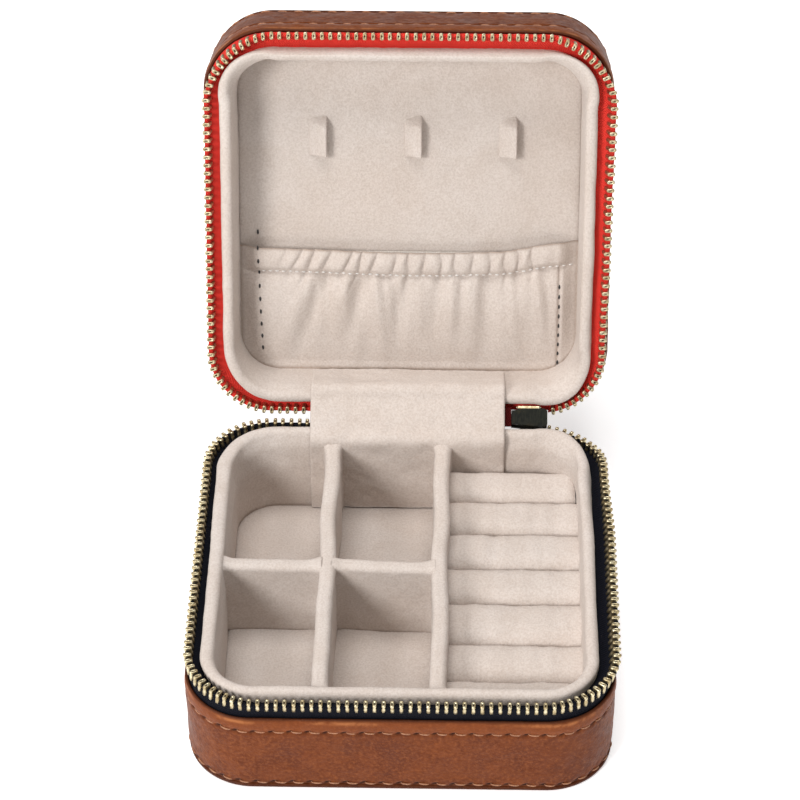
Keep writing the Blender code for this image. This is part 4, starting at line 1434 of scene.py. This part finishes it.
# ------------------------------------------------------------------ the studio

def studio():
    """Pale floor, white surroundings and two soft lights."""
    bpy.ops.mesh.primitive_plane_add(size=6.0, location=(0, 0, -0.0002))
    floor = bpy.context.object
    floor.name = "studio_floor"
    floor.data.materials.append(MATERIALS["floor"])
    world = bpy.data.worlds.new("studio")
    bpy.context.scene.world = world
    world.use_nodes = True
    background = world.node_tree.nodes["Background"]
    background.inputs["Color"].default_value = (1, 1, 1, 1)
    background.inputs["Strength"].default_value = 0.36
    soft_light("key", (-0.72, -0.95, 0.72), 0.45, 13.0)
    soft_light("top", (-0.1, 0.05, 1.3), 0.8, 12.0)
    bpy.context.scene.view_settings.view_transform = "Standard"


def soft_light(name, place, size, power):
    """A round soft light aimed at the case."""
    data = bpy.data.lights.new(name, "AREA")
    data.shape = "DISK"
    data.size = size
    data.energy = power
    lamp = bpy.data.objects.new(name, data)
    lamp.location = place
    aim = Vector((0, 0.02, 0.04)) - Vector(place)
    lamp.rotation_euler = aim.to_track_quat("-Z", "Y").to_euler()
    bpy.context.scene.collection.objects.link(lamp)


CAMERA_TARGET = Vector((-0.46, 21.88, 58.89)) * MM
CAMERA_DISTANCE = 711.7 * MM
CAMERA_ELEVATION = math.radians(41.33)
CAMERA_YAW = math.radians(1.46)
CAMERA_ROLL = math.radians(-0.35)
CAMERA_LENS = 134.35


def camera():
    """The camera, in front of the case and above it."""
    back = Vector((0, -math.cos(CAMERA_ELEVATION), math.sin(CAMERA_ELEVATION)))
    up = Vector((0, math.sin(CAMERA_ELEVATION), math.cos(CAMERA_ELEVATION)))
    right = Vector((1, 0, 0))
    turned_right = right * math.cos(CAMERA_ROLL) + up * math.sin(CAMERA_ROLL)
    turned_up = up * math.cos(CAMERA_ROLL) - right * math.sin(CAMERA_ROLL)
    spin = Matrix.Rotation(CAMERA_YAW, 4, "Z")
    axes = Matrix((turned_right, turned_up, back)).transposed().to_4x4()
    axes.translation = CAMERA_TARGET + back * CAMERA_DISTANCE
    data = bpy.data.cameras.new("camera")
    data.lens = CAMERA_LENS
    data.sensor_width = 36.0
    eye = bpy.data.objects.new("camera", data)
    eye.matrix_world = spin @ axes
    bpy.context.scene.collection.objects.link(eye)
    bpy.context.scene.camera = eye


# ------------------------------------------------------------------- assembly

leather_parts()
zip_parts()
lining_wall("base_lining", LINING_LOW[2], LINING_TOP, True, 0.0, "base", "base_lining_wall", 41)
flat_pad("base_padding", FLOOR_TOP, LINING_LOW[2], 0.0, "base", "base_floor_pad", 45, 0.1)
compartment_parts()
for roll in range(len(ROLL_GROOVES) - 1):
    ring_roll(roll)
lid_parts()
flap()
spine()
kept_nodes()
slider_trim(*slider_casing())
camera()
studio()
